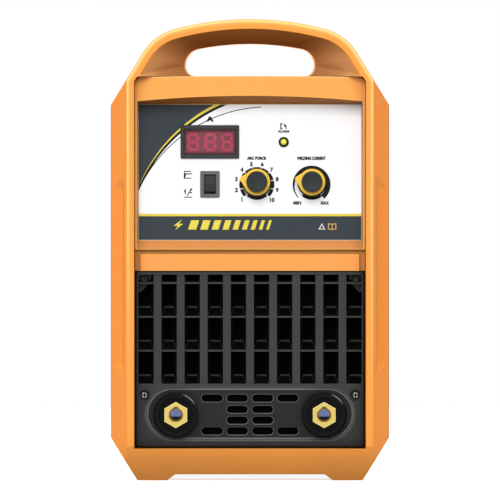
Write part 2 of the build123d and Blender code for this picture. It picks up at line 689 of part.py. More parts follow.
for name, x in KNOBS.items():
    with BuildPart() as knob:
        with BuildSketch(on_panel(x, KNOB_Z, KNOB_GAP)):
            Circle(SKIRT_RADIUS)
        extrude(amount=SKIRT_TOP - KNOB_GAP)
        fillet(knob.edges().filter_by(GeomType.CIRCLE).sort_by(OUT_OF_PANEL)[-1], 1.0)
        with BuildSketch(on_panel(x, KNOB_Z, SKIRT_TOP)):
            Circle(RING_INNER - 0.1)
        extrude(amount=RING_TOP - SKIRT_TOP)
        with BuildSketch(on_panel(x, KNOB_Z, KNOB_GAP)):
            Circle(7.4)
        extrude(amount=4, mode=Mode.SUBTRACT)
        with Locations(on_panel(x, KNOB_Z, 20)):
            Hole(SHAFT_RADIUS + 0.02, depth=22)
    save(knob, f"{name}_knob")

    with BuildPart() as pointer:
        with BuildSketch(on_panel(x, KNOB_Z, SKIRT_TOP)):
            Circle(RING_RADIUS)
            turn = radians(POINTER_ANGLE)
            reach = POINTER_REACH - POINTER_TIP
            tip = (reach * cos(turn), reach * sin(turn))
            with Locations(tip):
                Circle(POINTER_TIP)
            side_angle = 38
            flanks = []
            for lean, radius, centre in (
                (side_angle, RING_RADIUS - 0.2, (0, 0)),
                (70, POINTER_TIP, tip),
                (-70, POINTER_TIP, tip),
                (-side_angle, RING_RADIUS - 0.2, (0, 0)),
            ):
                angle = turn + radians(lean)
                flanks.append((centre[0] + radius * cos(angle), centre[1] + radius * sin(angle)))
            Polygon(*flanks, align=None)
            Circle(RING_INNER, mode=Mode.SUBTRACT)
        extrude(amount=RING_TOP - SKIRT_TOP)
        chamfer(pointer.faces().sort_by(OUT_OF_PANEL)[-1].outer_wire().edges(), 0.5)
    save(pointer, f"{name}_pointer")

    with BuildPart() as cap:
        with BuildSketch(on_panel(x, KNOB_Z, RING_TOP)):
            Circle(8.4)
        extrude(amount=CAP_TOP - RING_TOP, taper=1.5)
        fillet(cap.edges().filter_by(GeomType.CIRCLE).sort_by(OUT_OF_PANEL)[-1], 0.9)
        with Locations(on_panel(x, KNOB_Z, CAP_TOP + 38.6)):
            Sphere(39.2, mode=Mode.SUBTRACT)
        with BuildSketch(on_panel(x, KNOB_Z, RING_TOP)):
            Circle(SHAFT_RADIUS + 0.02)
        extrude(amount=5, mode=Mode.SUBTRACT)
    save(cap, f"{name}_cap")

    with BuildPart() as shaft:
        with BuildSketch(on_panel(x, KNOB_Z, -10)):
            Circle(SHAFT_RADIUS)
        extrude(amount=RING_TOP + 14.5)
    save(shaft, f"{name}_shaft")

    with BuildPart() as potentiometer:
        with BuildSketch(on_panel(x, KNOB_Z, -BEZEL_SKIN)):
            Circle(8.2)
        extrude(amount=-9)
        with BuildSketch(on_panel(x, KNOB_Z, -BEZEL_SKIN)):
            Circle(BUSHING_RADIUS)
        extrude(amount=BEZEL_SKIN + 4)
        with BuildSketch(on_panel(x, KNOB_Z, -BEZEL_SKIN - 8)):
            with Locations((0, -9)):
                with GridLocations(5, 1, 3, 1):
                    Rectangle(1.4, 8)
        extrude(amount=1)
        with Locations(on_panel(x, KNOB_Z, 6)):
            Hole(SHAFT_RADIUS + 0.05, depth=16.6)
    save(potentiometer, f"{name}_potentiometer")

with BuildPart() as pot_nuts:
    for x in KNOBS.values():
        with Locations(on_panel(x, KNOB_Z)):
            add(hex_nut(10, 2.2, BUSHING_RADIUS + 0.02))
save(pot_nuts, "pot_nuts")

# --- Front grille and output sockets ---

GRILLE_DEPTH = 9.0
BAR_PITCH = 18.64
BAR_FRONT = 6.0
BAR_BACK = 11.4
SLAT_LOW_Z = (76.1, 103.9, 131.2, 158.5)
SLAT_RISE = 9.2
SLAT_SHEET = 1.3
SLAT_LIP = 1.2
PLATE_TOP_Z = 77.9
PLATE_SHEET = 6.0
CELL_HALF = 90.2
CELL_TOP_Z = 166.0
BOSS_RADIUS = 4.2
STADIUM = (169.2, 43.5)
COLLAR_RADIUS = 18.0
SOCKET_HOLE = 15.3
SOCKET_LENGTH = 26.0
SCREW_HEAD_DEPTH = 11.4
GUSSET_DEPTH = 15.0
GUSSET_HEAD_DEPTH = 16.6
GUSSET_POCKET = 3.3
SCREEN_DEPTH = 24.4
SCREEN_SHEET = 1.5

grille_y = GRILLE_DEPTH - LENGTH / 2
louvre_back_y = SCREEN_DEPTH - 0.1 - LENGTH / 2
grille_middle_z = (GRILLE_BOTTOM_Z + GRILLE_TOP_Z) / 2
socket_places = [(-SOCKET_X, SOCKET_Z), (SOCKET_X, SOCKET_Z)]

with BuildPart() as front_grille:
    with BuildSketch(facing_front(0, grille_middle_z, GRILLE_DEPTH)):
        RectangleRounded(2 * PANEL_HALF, GRILLE_TOP_Z - GRILLE_BOTTOM_Z, 3)
    extrude(amount=GRILLE_DEPTH - PANEL_BACK_DEPTH)
    fillet(front_grille.faces().sort_by(Axis.Y)[0].outer_wire().edges(), 0.8)
    with BuildSketch(facing_front(0, (PLATE_TOP_Z + CELL_TOP_Z) / 2, GRILLE_DEPTH)):
        Rectangle(2 * CELL_HALF, CELL_TOP_Z - PLATE_TOP_Z)
    extrude(amount=-30, mode=Mode.SUBTRACT)
    with BuildSketch(facing_front(0, (GRILLE_BOTTOM_Z + PLATE_TOP_Z) / 2, GRILLE_DEPTH + PLATE_SHEET)):
        Rectangle(2 * CELL_HALF, PLATE_TOP_Z - GRILLE_BOTTOM_Z - 4)
    extrude(amount=-30, mode=Mode.SUBTRACT)
    # Bars, slats and the corner gussets with the screw bosses.
    with BuildSketch(Plane.XY.offset(PLATE_TOP_Z - 1)):
        with GridLocations(BAR_PITCH, 1, 9, 1):
            polygon(
                [
                    (-BAR_FRONT / 2, grille_y + 0.6),
                    (BAR_FRONT / 2, grille_y + 0.6),
                    (BAR_BACK / 2, louvre_back_y),
                    (-BAR_BACK / 2, louvre_back_y),
                ]
            )
    extrude(amount=CELL_TOP_Z - PLATE_TOP_Z + 2)
    with BuildSketch(Plane.YZ.offset(-CELL_HALF - 0.5)):
        for low_z in SLAT_LOW_Z:
            polygon(
                [
                    (grille_y + 1.6, low_z),
                    (louvre_back_y, low_z + SLAT_RISE - SLAT_LIP - SLAT_SHEET),
                    (louvre_back_y, low_z + SLAT_RISE),
                    (louvre_back_y - SLAT_LIP, low_z + SLAT_RISE),
                    (louvre_back_y - SLAT_LIP, low_z + SLAT_RISE - SLAT_LIP),
                    (grille_y + 1.6, low_z + SLAT_SHEET),
                ]
            )
    extrude(amount=2 * CELL_HALF + 1)
    for side in (-1, 1):
        with BuildSketch(facing_front(0, 0, GUSSET_DEPTH)):
            polygon([(side * 91, 167), (side * 79, 167), (side * 81, 159), (side * 88, 152), (side * 91, 152)])
        extrude(amount=GUSSET_DEPTH - SCREEN_DEPTH + 0.1)
        with BuildSketch(facing_front(side * PANEL_SCREW_X, PANEL_SCREW_LOW_Z, GRILLE_DEPTH + 1)):
            Circle(BOSS_RADIUS)
        extrude(amount=GRILLE_DEPTH + 1 - PANEL_BACK_DEPTH)
        with Locations(facing_front(side * PANEL_SCREW_X, PANEL_SCREW_LOW_Z, GRILLE_DEPTH)):
            CounterBoreHole(2.0, BOSS_RADIUS - 0.1, SCREW_HEAD_DEPTH - GRILLE_DEPTH, depth=30)
        with Locations(facing_front(side * PANEL_SCREW_X, PANEL_SCREW_HIGH_Z, GUSSET_DEPTH)):
            CounterBoreHole(2.0, GUSSET_POCKET, GUSSET_HEAD_DEPTH - GUSSET_DEPTH, depth=30)
    # Stadium recess with a stepped rim, the air slots and the socket holes.
    with BuildSketch(facing_front(0, SOCKET_Z + 0.95, GRILLE_DEPTH)):
        SlotOverall(*STADIUM)
    extrude(amount=-1.2, mode=Mode.SUBTRACT)
    with BuildSketch(facing_front(0, SOCKET_Z + 0.95, GRILLE_DEPTH + 1)):
        SlotOverall(STADIUM[0] - 5, STADIUM[1] - 5)
    extrude(amount=-1.0, mode=Mode.SUBTRACT)
    with BuildSketch(facing_front(0, 0, GRILLE_DEPTH)):
        for row_z, count in ((66.25, 4), (57.2, 2), (48.4, 2), (39.7, 4)):
            with Locations((0, row_z)):
                with GridLocations(20.4, 1, count, 1):
                    SlotOverall(16.9, 5.8)
        with Locations(*socket_places):
            Circle(SOCKET_HOLE)
    extrude(amount=-12, mode=Mode.SUBTRACT)
    slot_edges = front_grille.edges().filter_by(
        lambda e: abs(e.center().Y - GRILLE_DEPTH - 2 + LENGTH / 2) < 0.01
        and abs(e.center().X) < 40
        and abs(e.center().Z - SOCKET_Z) < 17
    )
    chamfer(slot_edges, 0.5)
save(front_grille, "front_grille")

with BuildPart() as dust_screens:
    with BuildSketch(facing_front(0, 0, SCREEN_DEPTH)):
        with Locations((0, (78.2 + CELL_TOP_Z - 0.1) / 2)):
            Rectangle(2 * CELL_HALF - 0.1, CELL_TOP_Z - 0.1 - 78.2)
        with Locations((-PANEL_SCREW_X, PANEL_SCREW_HIGH_Z), (PANEL_SCREW_X, PANEL_SCREW_HIGH_Z)):
            Circle(2.4, mode=Mode.SUBTRACT)
    extrude(amount=-SCREEN_SHEET)
    with BuildSketch(facing_front(0, SOCKET_Z + 0.3, GRILLE_DEPTH + PLATE_SHEET)):
        Rectangle(80.8, 40)
    extrude(amount=-SCREEN_SHEET)
save(dust_screens, "dust_screens")

with BuildPart() as front_grille_screws:
    for side in (-1, 1):
        for height, depth in ((PANEL_SCREW_LOW_Z, SCREW_HEAD_DEPTH), (PANEL_SCREW_HIGH_Z, GUSSET_HEAD_DEPTH)):
            with Locations(facing_front(side * PANEL_SCREW_X, height, depth)):
                add(pan_screw(31.4 - depth, head_radius=2.9, head_height=1.9, shank_radius=1.85))
save(front_grille_screws, "front_grille_screws")

for name, x in (("left", -SOCKET_X), ("right", SOCKET_X)):
    with BuildPart() as socket_insulator:
        with BuildSketch(facing_front(x, SOCKET_Z, 6)):
            Circle(COLLAR_RADIUS)
        extrude(amount=-5)
        chamfer(socket_insulator.edges().filter_by(GeomType.CIRCLE).sort_by(Axis.Y)[0], 1.0)
        with BuildSketch(facing_front(x, SOCKET_Z, 11)):
            Circle(SOCKET_HOLE - 0.1)
        extrude(amount=-20)
        with BuildSketch(facing_front(x, SOCKET_Z, 6)):
            Circle(14.6)
        extrude(amount=-4, mode=Mode.SUBTRACT)
        with Locations(facing_front(x, SOCKET_Z, 0)):
            Hole(8.6, depth=60)
    save(socket_insulator, f"socket_insulator_{name}")

    with BuildPart() as socket_contact:
        with BuildSketch(facing_front(x, SOCKET_Z, 7)):
            RegularPolygon(9.15, 6, major_radius=False, rotation=30)
        extrude(amount=-3)
        with BuildSketch(facing_front(x, SOCKET_Z, 9)):
            Circle(8.5)
        extrude(amount=-30)
        with BuildSketch(facing_front(x, SOCKET_Z, 38)):
            Circle(4.0)
        extrude(amount=-14)
        with BuildSketch(facing_front(x, SOCKET_Z, 7)):
            Circle(4.55)
            with Locations((0, 3.45)):
                Rectangle(3.6, 6.9)
        extrude(amount=-SOCKET_LENGTH, mode=Mode.SUBTRACT)
        mouth_edges = socket_contact.faces().sort_by(Axis.Y)[0].inner_wires()[0].edges()
        chamfer(mouth_edges.filter_by(GeomType.CIRCLE), 1.3)
    save(socket_contact, f"socket_contact_{name}")

with BuildPart() as socket_rear_nuts:
    for x in (-SOCKET_X, SOCKET_X):
        with BuildSketch(facing_front(x, SOCKET_Z, GRILLE_DEPTH + PLATE_SHEET + 0.1)):
            Circle(19)
            Circle(SOCKET_HOLE, mode=Mode.SUBTRACT)
        extrude(amount=-5)
    for x in (-SOCKET_X, SOCKET_X):
        with Locations(facing_front(x, SOCKET_Z, 49)):
            add(hex_nut(13, 6, 4.02))
save(socket_rear_nuts, "socket_rear_nuts")

# --- Rear panel with the fan, the mains switch, the cable gland and the earth stud ---

FAN_HALF = 60.0
FAN_BORE = 56.0
FAN_FRONT_DEPTH = 25.9
FAN_LENGTH = 25.0
FAN_SCREW = 52.5
HUB_RADIUS = 20.0
BLADE_RADIUS = 54.6
GLAND_THREAD = 10.0
EARTH_RADIUS = 3.0
EARTH_THREAD = 4.0
LEVER_DEPTH = 17.0
LEVER_DRUM = 6.5
panel_outer_depth = PANEL_BACK_DEPTH - REAR_PANEL_SHEET

with BuildPart() as rear_panel:
    with BuildSketch(facing_rear(0, 0, panel_outer_depth)) as rear_outline:
        polygon(
            [
                (PANEL_HALF - 0.2, GRILLE_BOTTOM_Z),
                (PANEL_HALF - 0.2, 317.5),
                (87.5, 324.5),
                (-87.5, 324.5),
                (0.2 - PANEL_HALF, 317.5),
                (0.2 - PANEL_HALF, GRILLE_BOTTOM_Z),
            ]
        )
        fillet(rear_outline.vertices(), 3)
        with Locations((0, FAN_Z)):
            Circle(FAN_BORE, mode=Mode.SUBTRACT)
            with GridLocations(2 * FAN_SCREW, 2 * FAN_SCREW, 2, 2):
                Circle(2.2, mode=Mode.SUBTRACT)
        for height in (PANEL_SCREW_LOW_Z, PANEL_SCREW_HIGH_Z, PANEL_SCREW_TOP_Z):
            with Locations((PANEL_SCREW_X, height), (-PANEL_SCREW_X, height)):
                Circle(2.0, mode=Mode.SUBTRACT)
        with Locations((-POWER_X, POWER_Z)):
            Rectangle(36.6, 45.6, mode=Mode.SUBTRACT)
        with Locations((-GLAND_X, GLAND_Z)):
            Circle(GLAND_THREAD + 0.1, mode=Mode.SUBTRACT)
        with Locations((-EARTH_X, EARTH_Z)):
            Circle(EARTH_THREAD + 0.05, mode=Mode.SUBTRACT)
    extrude(amount=-REAR_PANEL_SHEET)
save(rear_panel, "rear_panel")

with BuildPart() as rear_panel_screws:
    for side in (-1, 1):
        for height in (PANEL_SCREW_LOW_Z, PANEL_SCREW_HIGH_Z, PANEL_SCREW_TOP_Z):
            with Locations(facing_rear(side * PANEL_SCREW_X, height, panel_outer_depth)):
                add(pan_screw(12, shank_radius=1.85))
save(rear_panel_screws, "rear_panel_screws")

fan_face = facing_rear(0, FAN_Z, FAN_FRONT_DEPTH)
with BuildPart() as fan_frame:
    with BuildSketch(fan_face):
        RectangleRounded(2 * FAN_HALF, 2 * FAN_HALF, 6)
        Circle(FAN_BORE, mode=Mode.SUBTRACT)
        with GridLocations(2 * FAN_SCREW, 2 * FAN_SCREW, 2, 2):
            Circle(2.2, mode=Mode.SUBTRACT)
    extrude(amount=-FAN_LENGTH)
    with BuildSketch(fan_face.offset(-FAN_LENGTH)):
        Circle(HUB_RADIUS)
        with PolarLocations(FAN_BORE / 2 + 8, 4, start_angle=45):
            Rectangle(FAN_BORE - 14, 5)
    extrude(amount=3)
    with BuildSketch(fan_face.offset(3 - FAN_LENGTH)):
        Circle(1.5)
    extrude(amount=17)
save(fan_frame, "fan_frame")

with BuildPart() as fan_rotor:
    with BuildSketch(fan_face.offset(4 - FAN_LENGTH)):
        Circle(HUB_RADIUS)
    extrude(amount=19)
    fillet(fan_rotor.edges().filter_by(GeomType.CIRCLE).sort_by(Axis.Y)[-1], 2)
    with BuildSketch(fan_face.offset(4 - FAN_LENGTH)):
        Circle(1.55)
    extrude(amount=17, mode=Mode.SUBTRACT)
    for blade in range(7):
        root = fan_face.offset(-12.0).location * Location((0, 0, 0), (0, 0, blade * 360 / 7))
        near = Plane(root * Location((HUB_RADIUS - 2, 0, 0), (0, 90, 0)) * Location((0, 0, 0), (0, 0, 40)))
        far = Plane(root * Location((BLADE_RADIUS - 1, 0, 0), (0, 90, 0)) * Location((0, 0, 0), (0, 0, 62)))
        with BuildSketch(near):
            RectangleRounded(19, 1.8, 0.8)
        with BuildSketch(far):
            RectangleRounded(27, 1.4, 0.6)
        loft()
save(fan_rotor, "fan_rotor")

with BuildPart() as fan_guard:
    for radius in (13, 23, 33, 43, 53):
        with Locations(facing_rear(0, FAN_Z, 20)):
            Torus(radius, 1.1)
    for turn in (45, 135):
        with Locations(facing_rear(0, FAN_Z, 20).location * Location((0, 0, 0), (0, 0, turn))):
            Cylinder(1.2, 140.8, rotation=(0, 90, 0))
    for spot in (45, 135, 225, 315):
        reach = hypot(FAN_SCREW, FAN_SCREW)
        at = facing_rear(0, FAN_Z, 0).location * Location((0, 0, 0), (0, 0, spot))
        with BuildSketch(Plane(at * Location((reach, 0, -panel_outer_depth)))):
            Circle(4.6)
            Circle(2.2, mode=Mode.SUBTRACT)
        extrude(amount=2.2)
    with Locations(facing_rear(0, FAN_Z, 24)):
        with GridLocations(2 * FAN_SCREW, 2 * FAN_SCREW, 2, 2):
            Cylinder(2.2, 20, mode=Mode.SUBTRACT)
save(fan_guard, "fan_guard")

with BuildPart() as fan_screws:
    with Locations(facing_rear(0, FAN_Z, panel_outer_depth - 2.2)):
        with GridLocations(2 * FAN_SCREW, 2 * FAN_SCREW, 2, 2):
            add(pan_screw(33, head_radius=3.6, shank_radius=2.1))
    with Locations(facing_rear(0, FAN_Z, FAN_FRONT_DEPTH + FAN_LENGTH + 3.2)):
        with GridLocations(2 * FAN_SCREW, 2 * FAN_SCREW, 2, 2):
            add(hex_nut(7, 3.2, 2.12))
save(fan_screws, "fan_screws")

breaker_face = facing_rear(POWER_X, POWER_Z, LEVER_DEPTH)
with BuildPart() as breaker_body:
    with BuildSketch(facing_rear(POWER_X, POWER_Z, LEVER_DEPTH - 1.5)):
        Rectangle(36, 45)
    extrude(amount=-48)
    fillet(breaker_body.edges().filter_by(Axis.Y), 1)
    with BuildSketch(facing_rear(POWER_X, POWER_Z, PANEL_BACK_DEPTH + 0.2)):
        Rectangle(36, 80)
    extrude(amount=-38)
    with BuildSketch(facing_rear(POWER_X, POWER_Z, 10)):
        Rectangle(26, 16)
    extrude(amount=-15, mode=Mode.SUBTRACT)
    with Locations(breaker_face):
        Cylinder(1.55, 30, rotation=(0, 90, 0), mode=Mode.SUBTRACT)
save(breaker_body, "breaker_body")

with BuildPart() as lever_blank:
    with BuildSketch(Plane.YZ):
        Circle(LEVER_DRUM)
    extrude(amount=12.5, both=True)
    with BuildSketch(Plane.YZ) as lever_side:
        polygon([(-3.6, 3), (3.6, 3), (2.2, 14.5), (-2.2, 14.5)])
        fillet(lever_side.vertices().filter_by(lambda v: v.Y > 10), 1.5)
    extrude(amount=12.5, both=True)
    Cylinder(1.5, 29.6, rotation=(0, 90, 0))
with BuildPart() as breaker_lever:
    add(lever_blank.part.moved(breaker_face.location * Location((0, 0, 0), (30, 0, 0))))
save(breaker_lever, "breaker_lever")

with BuildPart() as cable_gland:
    gland_face = facing_rear(GLAND_X, GLAND_Z, panel_outer_depth)
    with BuildSketch(gland_face):
        RegularPolygon(12, 6, major_radius=False)
    extrude(amount=6)
    chamfer(cable_gland.edges().group_by(Axis.Y)[-1], 0.6)
    with BuildSketch(gland_face.offset(6)):
        Circle(11.2)
    extrude(amount=10, taper=8)
    fillet(cable_gland.edges().filter_by(GeomType.CIRCLE).sort_by(Axis.Y)[-1], 2)
    with BuildSketch(gland_face):
        Circle(GLAND_THREAD)
    extrude(amount=-14)
    with Locations(gland_face.offset(16)):
        Hole(6.0, depth=40)
save(cable_gland, "cable_gland")

with BuildPart() as gland_nut:
    with Locations(facing_rear(GLAND_X, GLAND_Z, PANEL_BACK_DEPTH + 5)):
        add(hex_nut(25, 5, GLAND_THREAD + 0.02))
save(gland_nut, "gland_nut")

with BuildPart() as earth_stud:
    with BuildSketch(facing_rear(EARTH_X, EARTH_Z, 5)):
        Circle(EARTH_RADIUS)
    extrude(amount=-20)
    chamfer(earth_stud.edges().filter_by(GeomType.CIRCLE).sort_by(Axis.Y)[-1], 0.6)
    with BuildSketch(facing_rear(EARTH_X, EARTH_Z, panel_outer_depth - 5.2)):
        Circle(EARTH_THREAD)
    extrude(amount=-18)
save(earth_stud, "earth_stud")

with BuildPart() as earth_nuts:
    for depth in (panel_outer_depth, PANEL_BACK_DEPTH + 5):
        with Locations(facing_rear(EARTH_X, EARTH_Z, depth)):
            add(hex_nut(13, 5, EARTH_THREAD + 0.02))
save(earth_nuts, "earth_nuts")

# --- Power stage inside the case ---

BOARD_HALF_WIDTH = 90.0
BOARD_FRONT_Y = -150.0
BOARD_BACK_Y = 145.0
TRAY_FLOOR_Z = TRAY_BOTTOM_Z + TRAY_SHEET
STANDOFFS = [(x, y) for x in (-84, 84) for y in (-140, 0, 135)]
SINK_INNER_X = 14.0
SINK_BASE = 6.0
SINK_OUTER_X = 80.0
SINK_HEIGHT = 96.0
SINK_FRONT_Y = -30.0
SINK_BACK_Y = 130.0

with BuildPart() as power_board:
    with BuildSketch(Plane.XY.offset(BOARD_Z)):
        with Locations((0, (BOARD_FRONT_Y + BOARD_BACK_Y) / 2)):
            RectangleRounded(2 * BOARD_HALF_WIDTH, BOARD_BACK_Y - BOARD_FRONT_Y, 3)
        with Locations(*STANDOFFS):
            Circle(1.6, mode=Mode.SUBTRACT)
    extrude(amount=BOARD_SHEET)
save(power_board, "power_board")

with BuildPart() as board_standoffs:
    for x, y in STANDOFFS:
        with BuildSketch(Plane((x, y, TRAY_FLOOR_Z))):
            RegularPolygon(4, 6, major_radius=False)
        extrude(amount=BOARD_Z - TRAY_FLOOR_Z)
        with Locations((x, y, DECK_Z)):
            add(pan_screw(8, head_radius=2.8, head_height=1.8, shank_radius=1.5))
save(board_standoffs, "board_standoffs")

for name, side in (("left", -1), ("right", 1)):
    with BuildPart() as heatsink:
        sink_length = SINK_BACK_Y - SINK_FRONT_Y
        with BuildSketch(Plane.XY.offset(DECK_Z)):
            with Locations((side * (SINK_INNER_X + SINK_BASE / 2), (SINK_FRONT_Y + SINK_BACK_Y) / 2)):
                Rectangle(SINK_BASE, sink_length)
        extrude(amount=SINK_HEIGHT)
        with BuildSketch(Plane.XZ.offset(-SINK_BACK_Y)):
            fin_middle = side * (SINK_INNER_X + SINK_OUTER_X) / 2
            with Locations((fin_middle, DECK_Z + SINK_HEIGHT / 2)):
                with GridLocations(1, 9.4, 1, 11):
                    Rectangle(SINK_OUTER_X - SINK_INNER_X, 2)
        extrude(amount=sink_length)
    save(heatsink, f"heatsink_{name}")


def power_packages(rows):
    """Plastic power packages against both heatsinks, with their leads down to the board."""
    with BuildPart() as packages:
        for y in rows:
            for side in (-1, 1):
                with Locations((side * (SINK_INNER_X - 2.5), y, DECK_Z + 18)):
                    Box(5, 16, 21)
                with Locations((side * (SINK_INNER_X - 3), y, DECK_Z + 4)):
                    with GridLocations(1, 5.4, 1, 3):
                        Box(0.7, 1.2, 8)
    return packages


save(power_packages((-15, 10, 35, 60)), "power_transistors")
save(power_packages((85, 108)), "output_diodes")

with BuildPart() as bus_capacitors:
    with BuildSketch(Plane.XY.offset(DECK_Z)):
        with Locations((-66, -50), (-66, -87), (-66, -124)):
            Circle(17.5)
    extrude(amount=50)
    fillet(bus_capacitors.edges().filter_by(GeomType.CIRCLE).group_by(Axis.Z)[-1], 2)
save(bus_capacitors, "bus_capacitors")

# The main transformer stands in front of the heatsinks: an E core around a square coil.
CORE_X, CORE_Y = 48.0, -96.0
with BuildPart() as transformer_core:
    with BuildSketch(Plane.XZ.offset(-CORE_Y - 22)):
        with Locations((CORE_X, DECK_Z + 34)):
            Rectangle(72, 68)
            with Locations((-19, 0), (19, 0)):
                Rectangle(16, 46, mode=Mode.SUBTRACT)
    extrude(amount=44)
save(transformer_core, "transformer_core")

with BuildPart() as transformer_winding:
    with BuildSketch(Plane.XY.offset(DECK_Z + 34 - 22)):
        with Locations((CORE_X, CORE_Y)):
            RectangleRounded(53, 75, 12)
            Rectangle(22.6, 44.6, mode=Mode.SUBTRACT)
    extrude(amount=44)
save(transformer_winding, "transformer_winding")

CHOKE_X, CHOKE_Y = -18.0, -112.0
with BuildPart() as choke_core:
    with BuildSketch(Plane.XY.offset(DECK_Z + 5)):
        with Locations((CHOKE_X, CHOKE_Y)):
            Circle(24)
            Circle(13, mode=Mode.SUBTRACT)
    extrude(amount=18)
save(choke_core, "choke_core")

with BuildPart() as choke_winding:
    for turn in range(16):
        spin = Location((CHOKE_X, CHOKE_Y, DECK_Z + 14), (0, 0, turn * 360 / 18))
        with BuildSketch(Plane(spin * Location((18.5, 0, 0), (90, 0, 0)))):
            RectangleRounded(16, 23, 2.6)
            Rectangle(11.4, 18.4, mode=Mode.SUBTRACT)
        extrude(amount=1.2, both=True)
save(choke_winding, "choke_winding")

BUSBAR_DEPTH = 43.0
BUSBAR_SHEET = 2.0
with BuildPart() as output_busbars:
    for x in (-SOCKET_X, SOCKET_X):
        with BuildSketch(facing_front(x, (DECK_Z + 62) / 2, BUSBAR_DEPTH)):
            Rectangle(20, 62 - DECK_Z)
            with Locations((0, SOCKET_Z - (DECK_Z + 62) / 2)):
                Circle(4.05, mode=Mode.SUBTRACT)
        extrude(amount=BUSBAR_SHEET)
        with Locations((x, BUSBAR_DEPTH - LENGTH / 2, DECK_Z)):
            Box(20, 28, BUSBAR_SHEET, align=(Align.CENTER, Align.MIN, Align.MIN))
save(output_busbars, "output_busbars")

CONTROL_BOARD_BACK = -34.0
with BuildPart() as control_board:
    with BuildSketch(on_panel(0, 245, CONTROL_BOARD_BACK)):
        RectangleRounded(146, 92, 3)
        with GridLocations(136, 82, 2, 2):
            Circle(1.6, mode=Mode.SUBTRACT)
    extrude(amount=-1.6)
    with BuildSketch(on_panel(0, 245, CONTROL_BOARD_BACK - 1.6)):
        with Locations((-30, 10)):
            Rectangle(14, 14)
        with Locations((20, 20), (20, 0), (20, -20)):
            Rectangle(10, 6)
        with Locations((-50, -30)):
            Rectangle(30, 12)
    extrude(amount=-4)
save(control_board, "control_board")

with BuildPart() as board_pillars:
    with Locations(on_panel(0, 245, CONTROL_BOARD_BACK)):
        with GridLocations(136, 82, 2, 2):
            Cylinder(3, -BEZEL_SKIN - CONTROL_BOARD_BACK, align=(Align.CENTER, Align.CENTER, Align.MIN))
save(board_pillars, "board_pillars")
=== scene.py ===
from math import atan2, cos, degrees, radians, sin

import bmesh
import bpy
from mathutils import Matrix, Vector


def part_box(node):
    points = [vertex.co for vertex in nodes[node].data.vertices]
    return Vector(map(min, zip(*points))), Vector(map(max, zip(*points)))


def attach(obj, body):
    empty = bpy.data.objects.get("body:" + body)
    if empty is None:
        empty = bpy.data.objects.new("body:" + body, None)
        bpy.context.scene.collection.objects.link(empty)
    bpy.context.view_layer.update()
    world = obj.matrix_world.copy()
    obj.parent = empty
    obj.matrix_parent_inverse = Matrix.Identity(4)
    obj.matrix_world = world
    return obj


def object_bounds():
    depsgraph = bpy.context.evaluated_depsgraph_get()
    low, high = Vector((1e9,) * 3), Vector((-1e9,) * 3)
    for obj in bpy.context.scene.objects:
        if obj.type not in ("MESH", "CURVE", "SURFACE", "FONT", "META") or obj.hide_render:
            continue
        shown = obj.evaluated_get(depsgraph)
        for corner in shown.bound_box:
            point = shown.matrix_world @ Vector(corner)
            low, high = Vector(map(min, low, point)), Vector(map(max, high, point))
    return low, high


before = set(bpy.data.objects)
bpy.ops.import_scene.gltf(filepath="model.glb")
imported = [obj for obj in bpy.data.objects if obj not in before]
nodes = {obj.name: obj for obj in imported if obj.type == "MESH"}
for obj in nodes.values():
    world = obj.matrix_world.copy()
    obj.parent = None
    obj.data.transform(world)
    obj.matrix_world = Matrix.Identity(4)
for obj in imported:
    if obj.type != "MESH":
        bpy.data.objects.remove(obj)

CAD_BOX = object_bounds()
HALF_LENGTH = CAD_BOX[1][1]
MM = 0.001
CASE = "case"


def front_middle(name):
    """The x and z of the centre of a CAD node's box, in metres."""
    low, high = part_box(name)
    return (low.x + high.x) / 2, (low.z + high.z) / 2


# --- Colours, as display values ---

def display(red, green, blue):
    """A colour given in display values from 0 to 255, as linear light."""
    def linear(value):
        value /= 255
        return value / 12.92 if value <= 0.04045 else ((value + 0.055) / 1.055) ** 2.4
    return (linear(red), linear(green), linear(blue), 1.0)


def grey(level):
    """A neutral colour given by one display value."""
    return display(level, level, level)


ORANGE = display(253, 163, 76)
ORANGE_DEEP = display(255, 173, 90)
# Painted shade and painted highlights on the orange mouldings, and a slightly darker crossbar orange:
WING_SHADE_ORANGE = display(251, 152, 60)
FILLET_SHADE_ORANGE = display(214, 130, 56)
RIM_HIGHLIGHT_ORANGE = display(255, 226, 144)
DISH_SHADE_ORANGE = display(218, 154, 96)
GRIP_UNDER_SHADE_ORANGE = display(152, 96, 46)
CROSSBAR_ORANGE = display(252, 163, 86)
WALL_SHADE_ORANGE = display(206, 130, 74)
LEDGE_SHADE_ORANGE = display(214, 140, 78)
HOOD_UNDER_SHADE_ORANGE = display(158, 98, 44)
INSERT_HIGHLIGHT_ORANGE = display(255, 232, 190)
# The black mouldings' own colours:
BLACK_MOULD = grey(52)
BLACK_DEEP = grey(11)
# Painted highlights and painted shade on the black mouldings and the screws:
CHAMFER_HIGHLIGHT_GREY = grey(128)
SLAT_SHADE_BLACK = grey(8)
POCKET_SHADE_BLACK = grey(6)
CROSS_SHADE_BLACK = grey(14)
HEAD_RIM_SHADE_GREY = grey(52)
UPPER_SCREW_SHADE = display(58, 52, 46)
COLLAR_HIGHLIGHT_GREY = grey(150)
# The own colours of the prints, the knobs and the brass:
WHITE_PRINT = display(248, 251, 253)
SLATE_PRINT = display(52, 60, 66)
YELLOW_PRINT = display(226, 208, 74)
BLACK_PRINT = display(20, 18, 18)
KNOB_YELLOW = display(255, 204, 64)
KNOB_GREY = display(44, 48, 49)
BRASS = display(192, 172, 94)
# Painted shade and a painted highlight on the brass; a painted reflection and painted shade in the bores:
BRASS_MOUTH_SHADE = display(176, 144, 74)
BRASS_EDGE_HIGHLIGHT = display(238, 228, 178)
BORE_BLUE_LOW, BORE_BLUE_HIGH = display(98, 112, 158), display(110, 126, 174)
BORE_SHADE = display(3, 5, 14)


# --- Materials ---

